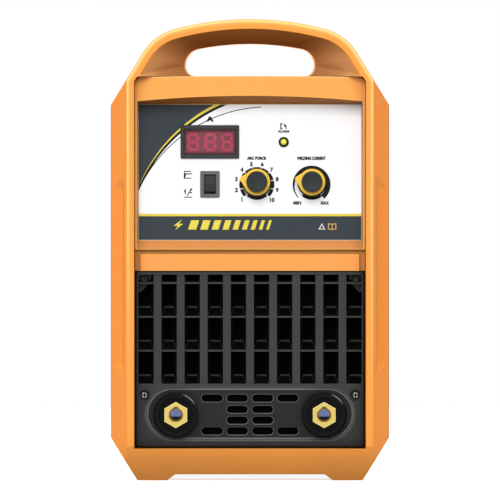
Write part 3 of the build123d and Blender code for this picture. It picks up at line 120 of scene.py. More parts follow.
# The range that most values of a noise texture lie in.
NOISE_LOW, NOISE_HIGH = 0.3, 0.7
# How well two normals agree on flat ground and on a sharp edge.
FLAT_MATCH, EDGE_MATCH = 0.995, 0.80
# The sockets of a colour mix node: its factor and two colours, and its result.
MIX_INPUTS = (0, 6, 7)
MIX_RESULT = 2


class Nodes:
    """A small helper that adds and joins the nodes of one material."""

    def __init__(self, name):
        self.material = bpy.data.materials.new(name)
        self.material.use_nodes = True
        self.tree = self.material.node_tree
        self.shader = self.tree.nodes["Principled BSDF"]
        self.place = self.add("ShaderNodeTexCoord").outputs["Object"]

    def add(self, kind, **values):
        node = self.tree.nodes.new(kind)
        for key, value in values.items():
            setattr(node, key, value)
        return node

    def join(self, output, socket):
        self.tree.links.new(output, socket)

    def noise(self, scale, detail=3.0, roughness=0.55, stretch=None):
        node = self.add("ShaderNodeTexNoise")
        node.inputs["Scale"].default_value = scale
        node.inputs["Detail"].default_value = detail
        node.inputs["Roughness"].default_value = roughness
        place = self.place
        if stretch:
            mapping = self.add("ShaderNodeMapping")
            mapping.inputs["Scale"].default_value = stretch
            self.join(place, mapping.inputs["Vector"])
            place = mapping.outputs["Vector"]
        self.join(place, node.inputs["Vector"])
        return node.outputs["Fac"]

    def cells(self, scale):
        node = self.add("ShaderNodeTexVoronoi")
        node.inputs["Scale"].default_value = scale
        self.join(self.place, node.inputs["Vector"])
        return node.outputs["Distance"]

    def ramp(self, source, stops):
        node = self.add("ShaderNodeValToRGB")
        ramp = node.color_ramp
        while len(ramp.elements) < len(stops):
            ramp.elements.new(0.5)
        for element, (position, colour) in zip(ramp.elements, stops):
            element.position = position
            element.color = colour
        self.join(source, node.inputs["Fac"])
        return node.outputs["Color"]

    def mottle(self, source, low, high):
        """A colour that wanders between two others with a noise."""
        return self.ramp(source, [(NOISE_LOW, low), (NOISE_HIGH, high)])

    def span(self, source, low, high):
        """A number that wanders between two others with a noise."""
        node = self.add("ShaderNodeMapRange")
        node.inputs["From Min"].default_value = NOISE_LOW
        node.inputs["From Max"].default_value = NOISE_HIGH
        node.inputs["To Min"].default_value = low
        node.inputs["To Max"].default_value = high
        self.join(source, node.inputs["Value"])
        return node.outputs["Result"]

    def mix(self, factor, first, second, blend="MIX"):
        node = self.add("ShaderNodeMix", data_type="RGBA", blend_type=blend)
        for index, value in zip(MIX_INPUTS, (factor, first, second)):
            if isinstance(value, bpy.types.NodeSocket):
                self.join(value, node.inputs[index])
            else:
                node.inputs[index].default_value = value
        return node.outputs[MIX_RESULT]

    def maths(self, operation, first, second=None):
        node = self.add("ShaderNodeMath", operation=operation)
        for socket, value in zip(node.inputs, (first, second)):
            if isinstance(value, bpy.types.NodeSocket):
                self.join(value, socket)
            elif value is not None:
                socket.default_value = value
        return node.outputs[0]

    def times(self, product, *others):
        """The product of several values."""
        for other in others:
            product = self.maths("MULTIPLY", product, other)
        return product

    def length(self, across, up):
        """The length of a line that runs so far across and so far up."""
        square = self.maths("ADD", self.times(across, across), self.times(up, up))
        return self.maths("SQRT", square)

    def rise(self, source, start, end):
        """A straight ramp from 0 at a first value to 1 at a second one, which may be the smaller."""
        node = self.add("ShaderNodeMapRange")
        node.inputs["From Min"].default_value = start
        node.inputs["From Max"].default_value = end
        self.join(source, node.inputs["Value"])
        return node.outputs["Result"]

    def split(self, vector):
        """The three parts of a vector, by name."""
        node = self.add("ShaderNodeSeparateXYZ")
        self.join(vector, node.inputs[0])
        return node.outputs

    def facing(self):
        """The three parts of the surface's own normal, by name."""
        return self.split(self.add("ShaderNodeNewGeometry").outputs["True Normal"])

    def distance(self, place, x, z):
        """The front-view distance to the point x, z and to its mirror image at -x."""
        across = self.maths("SUBTRACT", self.maths("ABSOLUTE", place["X"]), x)
        return self.length(across, self.maths("SUBTRACT", place["Z"], z))

    def shade_in(self, colour, reach, darkest, closed=0.25, opened=0.9):
        """The colour, darkened down to a share of itself where nearby surfaces close it in."""
        node = self.add("ShaderNodeAmbientOcclusion", samples=6)
        node.inputs["Distance"].default_value = reach
        share = self.add("ShaderNodeMapRange")
        share.inputs["From Min"].default_value = closed
        share.inputs["From Max"].default_value = opened
        share.inputs["To Min"].default_value = darkest
        self.join(node.outputs["AO"], share.inputs["Value"])
        return self.mix(1.0, colour, share.outputs["Result"], "MULTIPLY")

    def edge_wear(self, radius):
        """Near 1 on sharp edges and near 0 on flat ground, from how far two normals differ."""
        bevel = self.add("ShaderNodeBevel", samples=4)
        bevel.inputs["Radius"].default_value = radius
        geometry = self.add("ShaderNodeNewGeometry")
        dot = self.add("ShaderNodeVectorMath", operation="DOT_PRODUCT")
        self.join(bevel.outputs["Normal"], dot.inputs[0])
        self.join(geometry.outputs["Normal"], dot.inputs[1])
        node = self.add("ShaderNodeMapRange")
        node.inputs["From Min"].default_value = FLAT_MATCH
        node.inputs["From Max"].default_value = EDGE_MATCH
        self.join(dot.outputs["Value"], node.inputs["Value"])
        return node.outputs["Result"]

    def bump(self, heights, soften=0.0):
        """Stacks bumps given as (height output, distance, strength) over a softened edge normal."""
        normal = None
        if soften:
            bevel = self.add("ShaderNodeBevel", samples=4)
            bevel.inputs["Radius"].default_value = soften
            normal = bevel.outputs["Normal"]
        for height, distance, strength in heights:
            node = self.add("ShaderNodeBump")
            node.inputs["Distance"].default_value = distance
            node.inputs["Strength"].default_value = strength
            self.join(height, node.inputs["Height"])
            if normal:
                self.join(normal, node.inputs["Normal"])
            normal = node.outputs["Normal"]
        self.join(normal, self.shader.inputs["Normal"])


def tint(colour, factor):
    """The colour made darker or lighter by a factor."""
    return tuple(min(1.0, c * factor) for c in colour[:3]) + (1.0,)


def moulded(
    name, colour, roughness=0.42, grain=2600, depth=0.00005, soften=0.0006, wear_and_highlight=0.25, specular=0.25,
    reach=0.03, darkest=0.5, closed=0.25, opened=0.9, rub_and_highlight=1.5, edge=0.0012, zones=None,
):
    """Injection-moulded plastic: spark-eroded grain, faint flow marks, painted shade and lighter edges.
    """
    m = Nodes(name)
    flow = m.noise(9, 4, 0.6)
    speck = m.noise(420, 2, 0.5)
    base = m.mottle(flow, tint(colour, 0.96), tint(colour, 1.03))
    base = m.mix(m.span(speck, 0.0, 0.10), base, tint(colour, 0.86))
    if zones:
        base = zones(m, base)
    # Painted shade: the colour darkens where nearby surfaces close it in.
    base = m.shade_in(base, reach, darkest, closed, opened)
    # Edges are lighter, partly worn and partly a painted highlight.
    if wear_and_highlight:
        base = m.mix(m.maths("MULTIPLY", m.edge_wear(edge), wear_and_highlight), base, tint(colour, rub_and_highlight))
    m.join(base, m.shader.inputs["Base Color"])
    m.join(m.span(m.noise(60, 4), roughness - 0.05, roughness + 0.07), m.shader.inputs["Roughness"])
    m.shader.inputs["Specular IOR Level"].default_value = specular
    m.bump([(m.cells(grain), depth, 0.5), (m.noise(grain * 0.6, 2), depth, 0.35)], soften)
    return m.material


def powder_coat(name, colour, roughness=0.5):
    """Powder coat on sheet steel: orange peel, a slightly clouded colour and a fine bright speckle."""
    m = Nodes(name)
    peel = m.noise(900, 3, 0.5)
    cloud = m.noise(6, 5, 0.6)
    base = m.mottle(cloud, tint(colour, 0.9), tint(colour, 1.12))
    base = m.mix(m.span(m.noise(2600, 1), 0.0, 0.25), base, tint(colour, 1.7))
    m.join(base, m.shader.inputs["Base Color"])
    m.join(m.span(peel, roughness - 0.08, roughness + 0.08), m.shader.inputs["Roughness"])
    m.bump([(peel, 0.00012, 0.35)], 0.0005)
    return m.material


def metal(
    name, colour, roughness=0.3, brushed=(1, 1, 1), scale=900, tarnish=None, reach=0.0, darkest=0.3,
    zones=None,
):
    """Bare or plated metal with fine tool marks, patchy roughness and a trace of tarnish."""
    m = Nodes(name)
    marks = m.noise(scale, 3, 0.6, brushed)
    cloud = m.noise(45, 5, 0.65)
    dull = tarnish or tint(colour, 0.72)
    base = m.mix(m.span(cloud, 0.0, 0.45), colour, dull)
    base = m.mix(m.span(marks, 0.0, 0.18), base, tint(colour, 0.6))
    if zones:
        base = zones(m, base)
    # With a reach, the colour gets painted shade in its hollows.
    if reach:
        base = m.shade_in(base, reach, darkest, 0.3, 0.95)
    m.join(base, m.shader.inputs["Base Color"])
    m.shader.inputs["Metallic"].default_value = 1.0
    m.join(m.span(marks, roughness - 0.08, roughness + 0.12), m.shader.inputs["Roughness"])
    m.bump([(marks, 0.00004, 0.4)], 0.0003)
    return m.material


def ink(name, colour, roughness=0.38, specular=0.3):
    """Screen-printed ink on a satin sheet, with the faint mesh of the screen."""
    m = Nodes(name)
    screen = m.noise(3200, 1, 0.4)
    cloud = m.noise(25, 3)
    base = m.mottle(cloud, tint(colour, 0.97), tint(colour, 1.02))
    base = m.mix(m.span(screen, 0.0, 0.06), base, tint(colour, 0.8))
    m.join(base, m.shader.inputs["Base Color"])
    m.join(m.span(screen, roughness - 0.04, roughness + 0.06), m.shader.inputs["Roughness"])
    m.shader.inputs["Specular IOR Level"].default_value = specular
    m.bump([(screen, 0.00002, 0.3)])
    return m.material


def lens(name, colour, roughness=0.12, glow=0.0, see_through=0.0):
    """Tinted clear plastic, with very slight waviness in its face; it may glow or let light through."""
    m = Nodes(name)
    wave = m.noise(70, 2)
    base = m.mottle(wave, tint(colour, 0.93), tint(colour, 1.05))
    m.join(base, m.shader.inputs["Base Color"])
    m.join(m.span(wave, roughness, roughness + 0.05), m.shader.inputs["Roughness"])
    m.shader.inputs["Alpha"].default_value = 1.0 - see_through
    if glow:
        m.join(base, m.shader.inputs["Emission Color"])
        m.shader.inputs["Emission Strength"].default_value = glow
    m.bump([(wave, 0.0002, 0.1)], 0.0003)
    return m.material


def lit_block(name, dark, light, glow):
    """The face of a display block: a dark face with a fine mottle, glowing as painted light."""
    m = Nodes(name)
    base = m.mix(m.span(m.noise(900, 2, 0.7), 0.0, 1.0), dark, light)
    m.join(base, m.shader.inputs["Base Color"])
    m.join(base, m.shader.inputs["Emission Color"])
    m.shader.inputs["Emission Strength"].default_value = glow
    m.join(m.span(m.noise(300), 0.4, 0.6), m.shader.inputs["Roughness"])
    return m.material


BORE_BLEND = 0.0002
# The socket floors' painted reflection glows this strongly.
BORE_GLOW = 0.9


def bore_floor(name, split_z):
    """The bottom of a socket: a glowing painted reflection in blue above a level, painted deep shade
    below.
    """
    m = Nodes(name)
    above = m.rise(m.split(m.place)["Z"], split_z - BORE_BLEND, split_z + BORE_BLEND)
    blue = m.mix(m.span(m.noise(500), 0.0, 1.0), BORE_BLUE_LOW, BORE_BLUE_HIGH)
    base = m.mix(above, BORE_SHADE, blue)
    m.join(base, m.shader.inputs["Base Color"])
    m.join(base, m.shader.inputs["Emission Color"])
    m.shader.inputs["Emission Strength"].default_value = BORE_GLOW
    m.join(m.span(m.noise(300), 0.4, 0.55), m.shader.inputs["Roughness"])
    return m.material


def board(name):
    """Solder mask over tracks."""
    m = Nodes(name)
    tracks = m.add("ShaderNodeTexBrick")
    tracks.inputs["Scale"].default_value = 160
    tracks.inputs["Mortar Size"].default_value = 0.03
    tracks.inputs["Color1"].default_value = display(24, 78, 48)
    tracks.inputs["Color2"].default_value = display(30, 92, 56)
    tracks.inputs["Mortar"].default_value = display(60, 122, 78)
    m.join(m.place, tracks.inputs["Vector"])
    m.join(tracks.outputs["Color"], m.shader.inputs["Base Color"])
    m.join(m.span(m.noise(300), 0.25, 0.4), m.shader.inputs["Roughness"])
    m.bump([(tracks.outputs["Fac"], 0.0001, 0.4)])
    return m.material


def winding(name, colour, pitch):
    """Enamelled wire laid side by side."""
    m = Nodes(name)
    wave = m.add("ShaderNodeTexWave", wave_type="BANDS", bands_direction="Z")
    wave.inputs["Scale"].default_value = pitch
    wave.inputs["Distortion"].default_value = 0.6
    m.join(m.place, wave.inputs["Vector"])
    stops = [(0.1, tint(colour, 0.25)), (0.6, colour), (1.0, tint(colour, 1.3))]
    base = m.ramp(wave.outputs["Fac"], stops)
    m.join(base, m.shader.inputs["Base Color"])
    m.join(m.span(m.noise(90), 0.28, 0.42), m.shader.inputs["Roughness"])
    m.shader.inputs["Metallic"].default_value = 0.6
    m.bump([(wave.outputs["Fac"], 0.0006, 0.8)])
    return m.material


# --- Zones of the mouldings and metal parts, with painted highlights and painted shade ---

# Each pair says where a zone begins and where it is whole, and two pairs are a zone's two ends. A
# FACING and RIM_OUTWARD are shares of a normal, a SLOPE is a ratio, and the rest are metres.

WING_FACING = (0.25, 0.45)
WING_FILLET_FACINGS = ((0.95, 0.97), (0.9995, 0.997))
WING_FILLET_SHARE = 0.6
RIM_ROUNDING = 0.0052
RIM_CENTRE_Z = 0.2
RIM_OUTWARD = (0.06, 0.34)
RIM_FACING = (0.6, 0.9)
RIM_HEIGHT = (0.02, 0.30)
GRIP_Z = 0.345
GRIP_INWARD = (0.0, 0.002)
DISH_DEPTHS = ((0.0004, 0.0012), (0.05, 0.046))
SILL_HEIGHT = (0.3243, 0.3250)
GRIP_UNDER_Z = 0.338
GRIP_UNDER_SLOPE = (0.05, 0.35)


def frame_zones(m, base):
    """Wings in a deeper, painted shade; a painted highlight on the rim's outside; the grip's dish in
    painted shade.
    """
    place, normal = m.split(m.place), m.facing()
    sideways = m.maths("ABSOLUTE", normal["X"])
    # Faces turned sideways get a deeper orange, as painted shade.
    base = m.mix(m.rise(sideways, *WING_FACING), base, WING_SHADE_ORANGE)
    # The wings' outer fillets are darker, as painted shade.
    fillet = m.times(*[m.rise(sideways, *pair) for pair in WING_FILLET_FACINGS], WING_FILLET_SHARE)
    base = m.mix(fillet, base, FILLET_SHADE_ORANGE)
    # A painted highlight along the outer side of the rim's front, fading lower down.
    bevel = m.add("ShaderNodeBevel", samples=6)
    bevel.inputs["Radius"].default_value = RIM_ROUNDING
    turned = m.split(bevel.outputs["Normal"])
    up = m.maths("SUBTRACT", place["Z"], RIM_CENTRE_Z)
    outward = m.maths("ADD", m.times(turned["X"], place["X"]), m.times(turned["Z"], up))
    outward = m.maths("DIVIDE", outward, m.distance(place, 0.0, RIM_CENTRE_Z))
    highlight = m.times(
        m.rise(outward, *RIM_OUTWARD),
        m.rise(m.maths("ABSOLUTE", normal["Y"]), *RIM_FACING),
        m.rise(place["Z"], *RIM_HEIGHT),
    )
    base = m.mix(highlight, base, RIM_HIGHLIGHT_ORANGE)
    # The dish round the grip is darker, as painted shade.
    to_grip = m.maths("SUBTRACT", GRIP_Z, place["Z"])
    inward = m.maths("SUBTRACT", m.times(normal["Z"], to_grip), m.times(normal["X"], place["X"]))
    depth = m.maths("SUBTRACT", HALF_LENGTH, m.maths("ABSOLUTE", place["Y"]))
    dish = m.times(
        m.rise(inward, *GRIP_INWARD),
        *[m.rise(depth, *pair) for pair in DISH_DEPTHS],
        m.rise(place["Z"], *SILL_HEIGHT),
    )
    base = m.mix(dish, base, DISH_SHADE_ORANGE)
    # The dish's faces under the grip are darker still, as painted shade.
    climb = m.maths("SUBTRACT", place["Z"], GRIP_UNDER_Z)
    slope = m.maths("DIVIDE", climb, m.maths("ABSOLUTE", place["X"]))
    return m.mix(m.times(dish, m.rise(slope, *GRIP_UNDER_SLOPE)), base, GRIP_UNDER_SHADE_ORANGE)


CROSSBAR_HEIGHT = (0.1835, 0.1825)
RECESS_HEIGHTS = ((0.1850, 0.1858), (0.3115, 0.3110))
RECESS_WALL_FACING = (0.4, 0.6)
LEDGE_FACING = (0.15, 0.3)
LEDGE_HEIGHT = (0.1945, 0.1940)
HOOD_UNDER_FACING = (-0.15, -0.3)
INSERT_SIDE_X = (0.0908, 0.0912)
INSERT_TOP_HEIGHT = (0.3215, 0.3225)
INSERT_FRONT_FACING = (0.9, 0.95)
INSERT_EDGE = 0.0016
INSERT_LINE_HEIGHT = (0.186, 0.188)


def insert_zones(m, base):
    """A darker crossbar, painted shade on ledge, side walls and under the hood, a painted outer
    highlight.
    """
    place, normal = m.split(m.place), m.facing()
    base = m.mix(m.rise(place["Z"], *CROSSBAR_HEIGHT), base, CROSSBAR_ORANGE)
    recess = m.times(*[m.rise(place["Z"], *pair) for pair in RECESS_HEIGHTS])
    # The recess's side walls are darker, as painted shade.
    wall = m.rise(m.maths("ABSOLUTE", normal["X"]), *RECESS_WALL_FACING)
    base = m.mix(m.times(recess, wall), base, WALL_SHADE_ORANGE)
    # The ledge under the label is darker, as painted shade.
    ledge = m.times(recess, m.rise(normal["Z"], *LEDGE_FACING), m.rise(place["Z"], *LEDGE_HEIGHT))
    base = m.mix(ledge, base, LEDGE_SHADE_ORANGE)
    # Faces under the hood are darker, as painted shade.
    under = m.rise(normal["Z"], *HOOD_UNDER_FACING)
    base = m.mix(m.times(recess, under), base, HOOD_UNDER_SHADE_ORANGE)
    # A pale painted highlight line along the insert's outer front edges.
    side = m.rise(m.maths("ABSOLUTE", place["X"]), *INSERT_SIDE_X)
    outer = m.maths("MAXIMUM", side, m.rise(place["Z"], *INSERT_TOP_HEIGHT))
    front = m.rise(m.maths("ABSOLUTE", normal["Y"]), *INSERT_FRONT_FACING)
    line = m.times(outer, front, m.edge_wear(INSERT_EDGE), m.rise(place["Z"], *INSERT_LINE_HEIGHT))
    return m.mix(line, base, INSERT_HIGHLIGHT_ORANGE)


screws_low, screws_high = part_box("front_grille_screws")
SCREW_HEAD = 0.0029
SCREW_X = screws_high.x - SCREW_HEAD
SCREW_LOW_Z = screws_low.z + SCREW_HEAD
SCREW_HIGH_Z = screws_high.z - SCREW_HEAD
SCREW_POCKET_REACH = (0.0053, 0.0050)
# The socket plate's rim steps: a radius round the centre of its round end, and the grey inside it.
PLATE_END_X, PLATE_END_Z = 0.06285, 0.05365
PLATE_RIM_HIGHLIGHTS_AND_FIELD = ((0.0219, 180), (0.0211, 56), (0.0205, 124), (0.0192, 20))
PLATE_STEP_BLEND = 0.0002
CHAMFER_FACINGS = ((0.6, 0.66), (0.82, 0.76))
CHAMFER_HEIGHT = (0.0779, 0.0775)
SLAT_FACING = (0.5, 0.7)
SLAT_HEIGHT = (0.0776, 0.0779)


def grille_zones(m, base):
    """Painted highlights on the socket plate's rim and chamfers; painted shade on slats and screw
    pockets.
    """
    place, normal = m.split(m.place), m.facing()
    across = m.maths("SUBTRACT", m.maths("ABSOLUTE", place["X"]), PLATE_END_X)
    up = m.maths("SUBTRACT", place["Z"], PLATE_END_Z)
    reach = m.length(m.maths("MAXIMUM", across, 0.0), up)
    # Painted highlight lines on the plate's rim steps, and a darker field inside them.
    for edge, level in PLATE_RIM_HIGHLIGHTS_AND_FIELD:
        base = m.mix(m.rise(reach, edge, edge - PLATE_STEP_BLEND), base, grey(level))
    # Pale chamfers round the lower slots, as a painted highlight.
    front = m.maths("ABSOLUTE", normal["Y"])
    chamfer = m.times(*[m.rise(front, *pair) for pair in CHAMFER_FACINGS])
    base = m.mix(m.times(chamfer, m.rise(place["Z"], *CHAMFER_HEIGHT)), base, CHAMFER_HIGHLIGHT_GREY)
    # The slats' upper faces are black, as painted shade.
    slat = m.times(m.rise(normal["Z"], *SLAT_FACING), m.rise(place["Z"], *SLAT_HEIGHT))
    base = m.mix(slat, base, SLAT_SHADE_BLACK)
    # The lower screws' pockets are black, as painted shade.
    pocket = m.rise(m.distance(place, SCREW_X, SCREW_LOW_Z), *SCREW_POCKET_REACH)
    return m.mix(pocket, base, POCKET_SHADE_BLACK)


CROSS_REACH = (0.0022, 0.0020)
CROSS_WIDTH = (0.00050, 0.00040)
HEAD_RIM_REACH = (0.0021, 0.0024)
HEAD_RIM_HEIGHT = (0.01, 0.009)
UPPER_SCREW_HEIGHT = (0.10, 0.11)


def screw_zones(m, base):
    """Painted shade in each head's cross and rim; the upper screws sit deep and are darker, as painted
    shade.
    """
    place = m.split(m.place)
    for z in (SCREW_LOW_Z, SCREW_HIGH_Z):
        across = m.maths("SUBTRACT", m.maths("ABSOLUTE", place["X"]), SCREW_X)
        up = m.maths("ABSOLUTE", m.maths("SUBTRACT", place["Z"], z))
        line = m.maths("MINIMUM", m.maths("ABSOLUTE", across), up)
        reach = m.distance(place, SCREW_X, z)
        # The cross recess is darker, as painted shade.
        cross = m.times(m.rise(reach, *CROSS_REACH), m.rise(line, *CROSS_WIDTH))
        base = m.mix(cross, base, CROSS_SHADE_BLACK)
        # The head's rim is darker, as painted shade.
        rim = m.times(m.rise(reach, *HEAD_RIM_REACH), m.rise(up, *HEAD_RIM_HEIGHT))
        base = m.mix(rim, base, HEAD_RIM_SHADE_GREY)
    # The upper screws are darker, as painted shade.
    return m.mix(m.rise(place["Z"], *UPPER_SCREW_HEIGHT), base, UPPER_SCREW_SHADE)


SOCKET_X, SOCKET_Z = front_middle("socket_contact_right")
MOUTH_REACH = (0.0060, 0.0057)
HEXAGON_REACH = (0.0062, 0.0066)
HEXAGON_EDGE = 0.0011
HEXAGON_EDGE_SHARE = 0.8


def socket_mouth(m, base):
    """A turned mouth in painted shade, darker than the hexagon round it, whose edges get a painted
    highlight.
    """
    reach = m.distance(m.split(m.place), SOCKET_X, SOCKET_Z)
    # The mouth is darker, as painted shade.
    base = m.mix(m.rise(reach, *MOUTH_REACH), base, BRASS_MOUTH_SHADE)
    # The hexagon's edges are lighter, as a painted highlight.
    highlight = m.times(m.edge_wear(HEXAGON_EDGE), m.rise(reach, *HEXAGON_REACH), HEXAGON_EDGE_SHARE)
    return m.mix(highlight, base, BRASS_EDGE_HIGHLIGHT)


COLLAR_LIGHT_DIRECTION = (0.60, -0.35, 0.72)
COLLAR_HIGHLIGHT_FACING = (0.86, 0.93)


def plug_rubs(m, base):
    """Painted highlights on the collars, on faces turned towards a light at the upper right."""
    normal = m.add("ShaderNodeNewGeometry").outputs["Normal"]
    dot = m.add("ShaderNodeVectorMath", operation="DOT_PRODUCT")
    m.join(normal, dot.inputs[0])
    dot.inputs[1].default_value = COLLAR_LIGHT_DIRECTION
    # Faces turned towards that light are paler, as a painted highlight.
    return m.mix(m.rise(dot.outputs["Value"], *COLLAR_HIGHLIGHT_FACING), base, COLLAR_HIGHLIGHT_GREY)


# --- The materials, and the CAD nodes that wear them ---

# Each moulding gets painted shade in its hollows and lighter edges, partly worn, partly painted
# highlight.
orange = moulded(
    "orange_mould", ORANGE, 0.5, soften=0.0008, wear_and_highlight=0.3, specular=0.05, reach=0.045, darkest=0.45,
    closed=0.3, rub_and_highlight=1.2, edge=0.0014, zones=frame_zones,
)
orange_insert = moulded(
    "orange_insert", ORANGE_DEEP, 0.5, soften=0.0006, wear_and_highlight=0.5, specular=0.06, reach=0.012, darkest=0.45,
    closed=0.3, opened=0.95, rub_and_highlight=1.8, edge=0.0012, zones=insert_zones,
)
black_mould = moulded(
    "black_mould", BLACK_MOULD, 0.5, soften=0.0003, wear_and_highlight=0.4, specular=0.2, reach=0.02, darkest=0.02,
    rub_and_highlight=2.6,
)
grille_mould = moulded(
    "grille_mould", BLACK_MOULD, 0.5, soften=0.0003, wear_and_highlight=0.5, specular=0.2, reach=0.03, darkest=0.02,
    closed=0.6, opened=0.95, rub_and_highlight=3.4, edge=0.0009, zones=grille_zones,
)
black_gloss = moulded(
    "black_gloss", BLACK_DEEP, 0.26, grain=4200, soften=0.0004, wear_and_highlight=0.6, specular=0.07, darkest=0.3,
    rub_and_highlight=12.0, edge=0.0007,
)
collar_gloss = moulded(
    "collar_gloss", BLACK_DEEP, 0.26, grain=4200, soften=0.0002, wear_and_highlight=0.4, specular=0.07, darkest=0.3,
    rub_and_highlight=12.0, edge=0.0007, zones=plug_rubs,
)
switch_frame = moulded(
    "switch_frame", display(94, 94, 92), 0.4, grain=4200, soften=0.0004, specular=0.2, reach=0.004
)
rocker_mould = moulded(
    "rocker_mould", grey(33), 0.34, grain=4200, soften=0.0004, specular=0.2, reach=0.006
)
meter_mould = moulded(
    "meter_mould", display(47, 50, 48), 0.4, grain=3400, soften=0.0003, specular=0.2, reach=0.006
)
knob_grey = moulded(
    "knob_grey", KNOB_GREY, 0.45, grain=3400, soften=0.0004, specular=0.12, wear_and_highlight=0.1, darkest=0.9
)
knob_yellow = moulded(
    "knob_yellow", KNOB_YELLOW, 0.35, grain=4200, soften=0.0003, wear_and_highlight=0.6, darkest=0.8, rub_and_highlight=1.4,
    edge=0.0006,
)
foam = moulded(
    "dust_foam", grey(10), 0.9, grain=1500, depth=0.0006, specular=0.02, wear_and_highlight=0.0, darkest=0.3
)
label_white = ink("label_white", WHITE_PRINT, 0.36)
charcoal = powder_coat("charcoal_coat", display(58, 60, 62))
rear_coat = powder_coat("rear_coat", display(50, 50, 51))
zinc = metal("zinc_plate", display(190, 192, 194), 0.32, tarnish=display(150, 146, 130))
grille_screw = metal("grille_screw", grey(132), 0.3, reach=0.0016, darkest=0.1, zones=screw_zones)
bright_wire = metal("bright_wire", display(205, 206, 208), 0.2)
brass = metal(
    "turned_brass", BRASS, 0.34, (1, 30, 1), 300, display(184, 158, 84), reach=0.004, darkest=0.6,
    zones=socket_mouth,
)
aluminium = metal("extruded_aluminium", display(196, 198, 200), 0.36, (40, 1, 1), 60)
copper_bar = metal("copper_bar", display(206, 126, 82), 0.3)
can_sleeve = moulded("can_sleeve", display(40, 62, 110), 0.3)
ferrite = moulded("ferrite", display(52, 50, 50), 0.6, grain=1400)
wire_coil = winding("wire_coil", display(176, 96, 44), 90)
green_board = board("green_board")
red_lens = lens("red_filter", display(150, 60, 78), 0.14, 0.0, 0.7)
amber_lens = lens("amber_lens", display(222, 212, 60), 0.12, 0.25)
# The display block glows a little, as painted light.
display_block = lit_block("display_block", display(64, 34, 40), display(150, 66, 80), 0.25)

finish = {
    orange: ["front_frame", "rear_frame"],
    orange_insert: ["panel_bezel"],
    grille_mould: ["front_grille"],
    switch_frame: ["mode_switch_body"],
    black_mould: ["fan_frame", "fan_rotor", "breaker_body", "socket_rear_nuts"],
    black_gloss: [
        "arc_force_knob", "current_knob", "cable_gland", "gland_nut", "power_transistors",
        "output_diodes", "breaker_lever", "led_holder",
    ],
    collar_gloss: ["socket_insulator_left", "socket_insulator_right"],
    foam: ["dust_screens"],
    rocker_mould: ["mode_switch_rocker"],
    meter_mould: ["meter_housing"],
    knob_grey: ["arc_force_cap", "current_cap"],
    knob_yellow: ["arc_force_pointer", "current_pointer"],
    label_white: ["control_label"],
    charcoal: ["case_cover"],
    rear_coat: ["rear_panel"],
    zinc: [
        "base_tray", "rear_panel_screws", "cover_screws", "fan_screws", "pot_nuts",
        "arc_force_shaft", "current_shaft", "earth_nuts", "board_standoffs", "board_pillars",
        "arc_force_potentiometer", "current_potentiometer", "mode_switch_terminals",
    ],
    grille_screw: ["front_grille_screws"],
    bright_wire: ["fan_guard"],
    brass: ["socket_contact_left", "socket_contact_right", "earth_stud"],
    copper_bar: ["output_busbars"],
    aluminium: ["heatsink_left", "heatsink_right"],
    can_sleeve: ["bus_capacitors"],
    wire_coil: ["transformer_winding", "choke_winding"],
    ferrite: ["transformer_core", "choke_core"],
    green_board: ["power_board", "control_board"],
    red_lens: ["meter_window"],
    display_block: ["meter_display"],
    amber_lens: ["alarm_led"],
}
for material, names in finish.items():
    for name in names:
        slots = nodes[name].data.materials
        for index in range(len(slots)):
            slots[index] = material
        if not len(slots):
            slots.append(material)


# --- The tilted face of the control panel, read from the label sheet ---

label = nodes["control_label"].data
face = max(label.polygons, key=lambda p: p.area * (p.normal.y < 0))
PANEL_NORMAL = face.normal.normalized()
PANEL_POINT = face.center.copy()
PANEL_UP = PANEL_NORMAL.cross(Vector((1, 0, 0)))


def on_panel(x, z, lift=0.0):
    """The point on the panel's face at a front-view x and z in millimetres, raised off it by a lift."""
    point = Vector((x * MM, 0, z * MM))
    drop = (PANEL_POINT - point).dot(PANEL_NORMAL) / PANEL_NORMAL.y
    return point + Vector((0, drop, 0)) + PANEL_NORMAL * lift * MM


def lean(z, base):
    """A height above a base height in the front view, as a length along the tilted face."""
    return (z - base) / PANEL_UP.z


PANEL_BASE_Z = 193.5
PANEL_PLANE = Matrix.Translation(on_panel(0, PANEL_BASE_Z)) @ Matrix(
    (
        (1, 0, PANEL_NORMAL.x, 0),
        (0, PANEL_UP.y, PANEL_NORMAL.y, 0),
        (0, PANEL_UP.z, PANEL_NORMAL.z, 0),
        (0, 0, 0, 1),
    )
)
INK_THICKNESS = 0.02
INK_LIFT = 0.05
UPPER_INK_LIFT = 0.10
FONT_STEPS = 4


def new_object(name, data):
    """A new object in the scene."""
    obj = bpy.data.objects.new(name, data)
    bpy.context.scene.collection.objects.link(obj)
    return obj


def keep(obj, material, body):
    """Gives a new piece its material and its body."""
    obj.data.materials.clear()
    obj.data.materials.append(material)
    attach(obj, body)


def outline_curve(name, outlines, thickness):
    """A filled curve from closed outlines in millimetres; inner outlines are holes."""
    curve = bpy.data.curves.new(name, "CURVE")
    curve.dimensions = "2D"
    curve.fill_mode = "BOTH"
    curve.extrude = thickness / 2 * MM
    for outline in outlines:
        spline = curve.splines.new("POLY")
        spline.points.add(len(outline) - 1)
        for point, (x, y) in zip(spline.points, outline):
            point.co = (x * MM, y * MM, 0, 1)
        spline.use_cyclic_u = True
    return curve


def mesh_of(name, curve):
    """The mesh of a filled curve or of a text."""
    source = new_object(name + "_source", curve)
    bpy.context.view_layer.update()
    drawn = source.evaluated_get(bpy.context.evaluated_depsgraph_get())
    mesh = bpy.data.meshes.new_from_object(drawn)
    bpy.data.objects.remove(source)
    return mesh


def settle(name, mesh, plane, material):
    """Makes a flat mesh a print on one of the planes of the case."""
    mesh.transform(plane)
    keep(new_object(name, mesh), material, CASE)


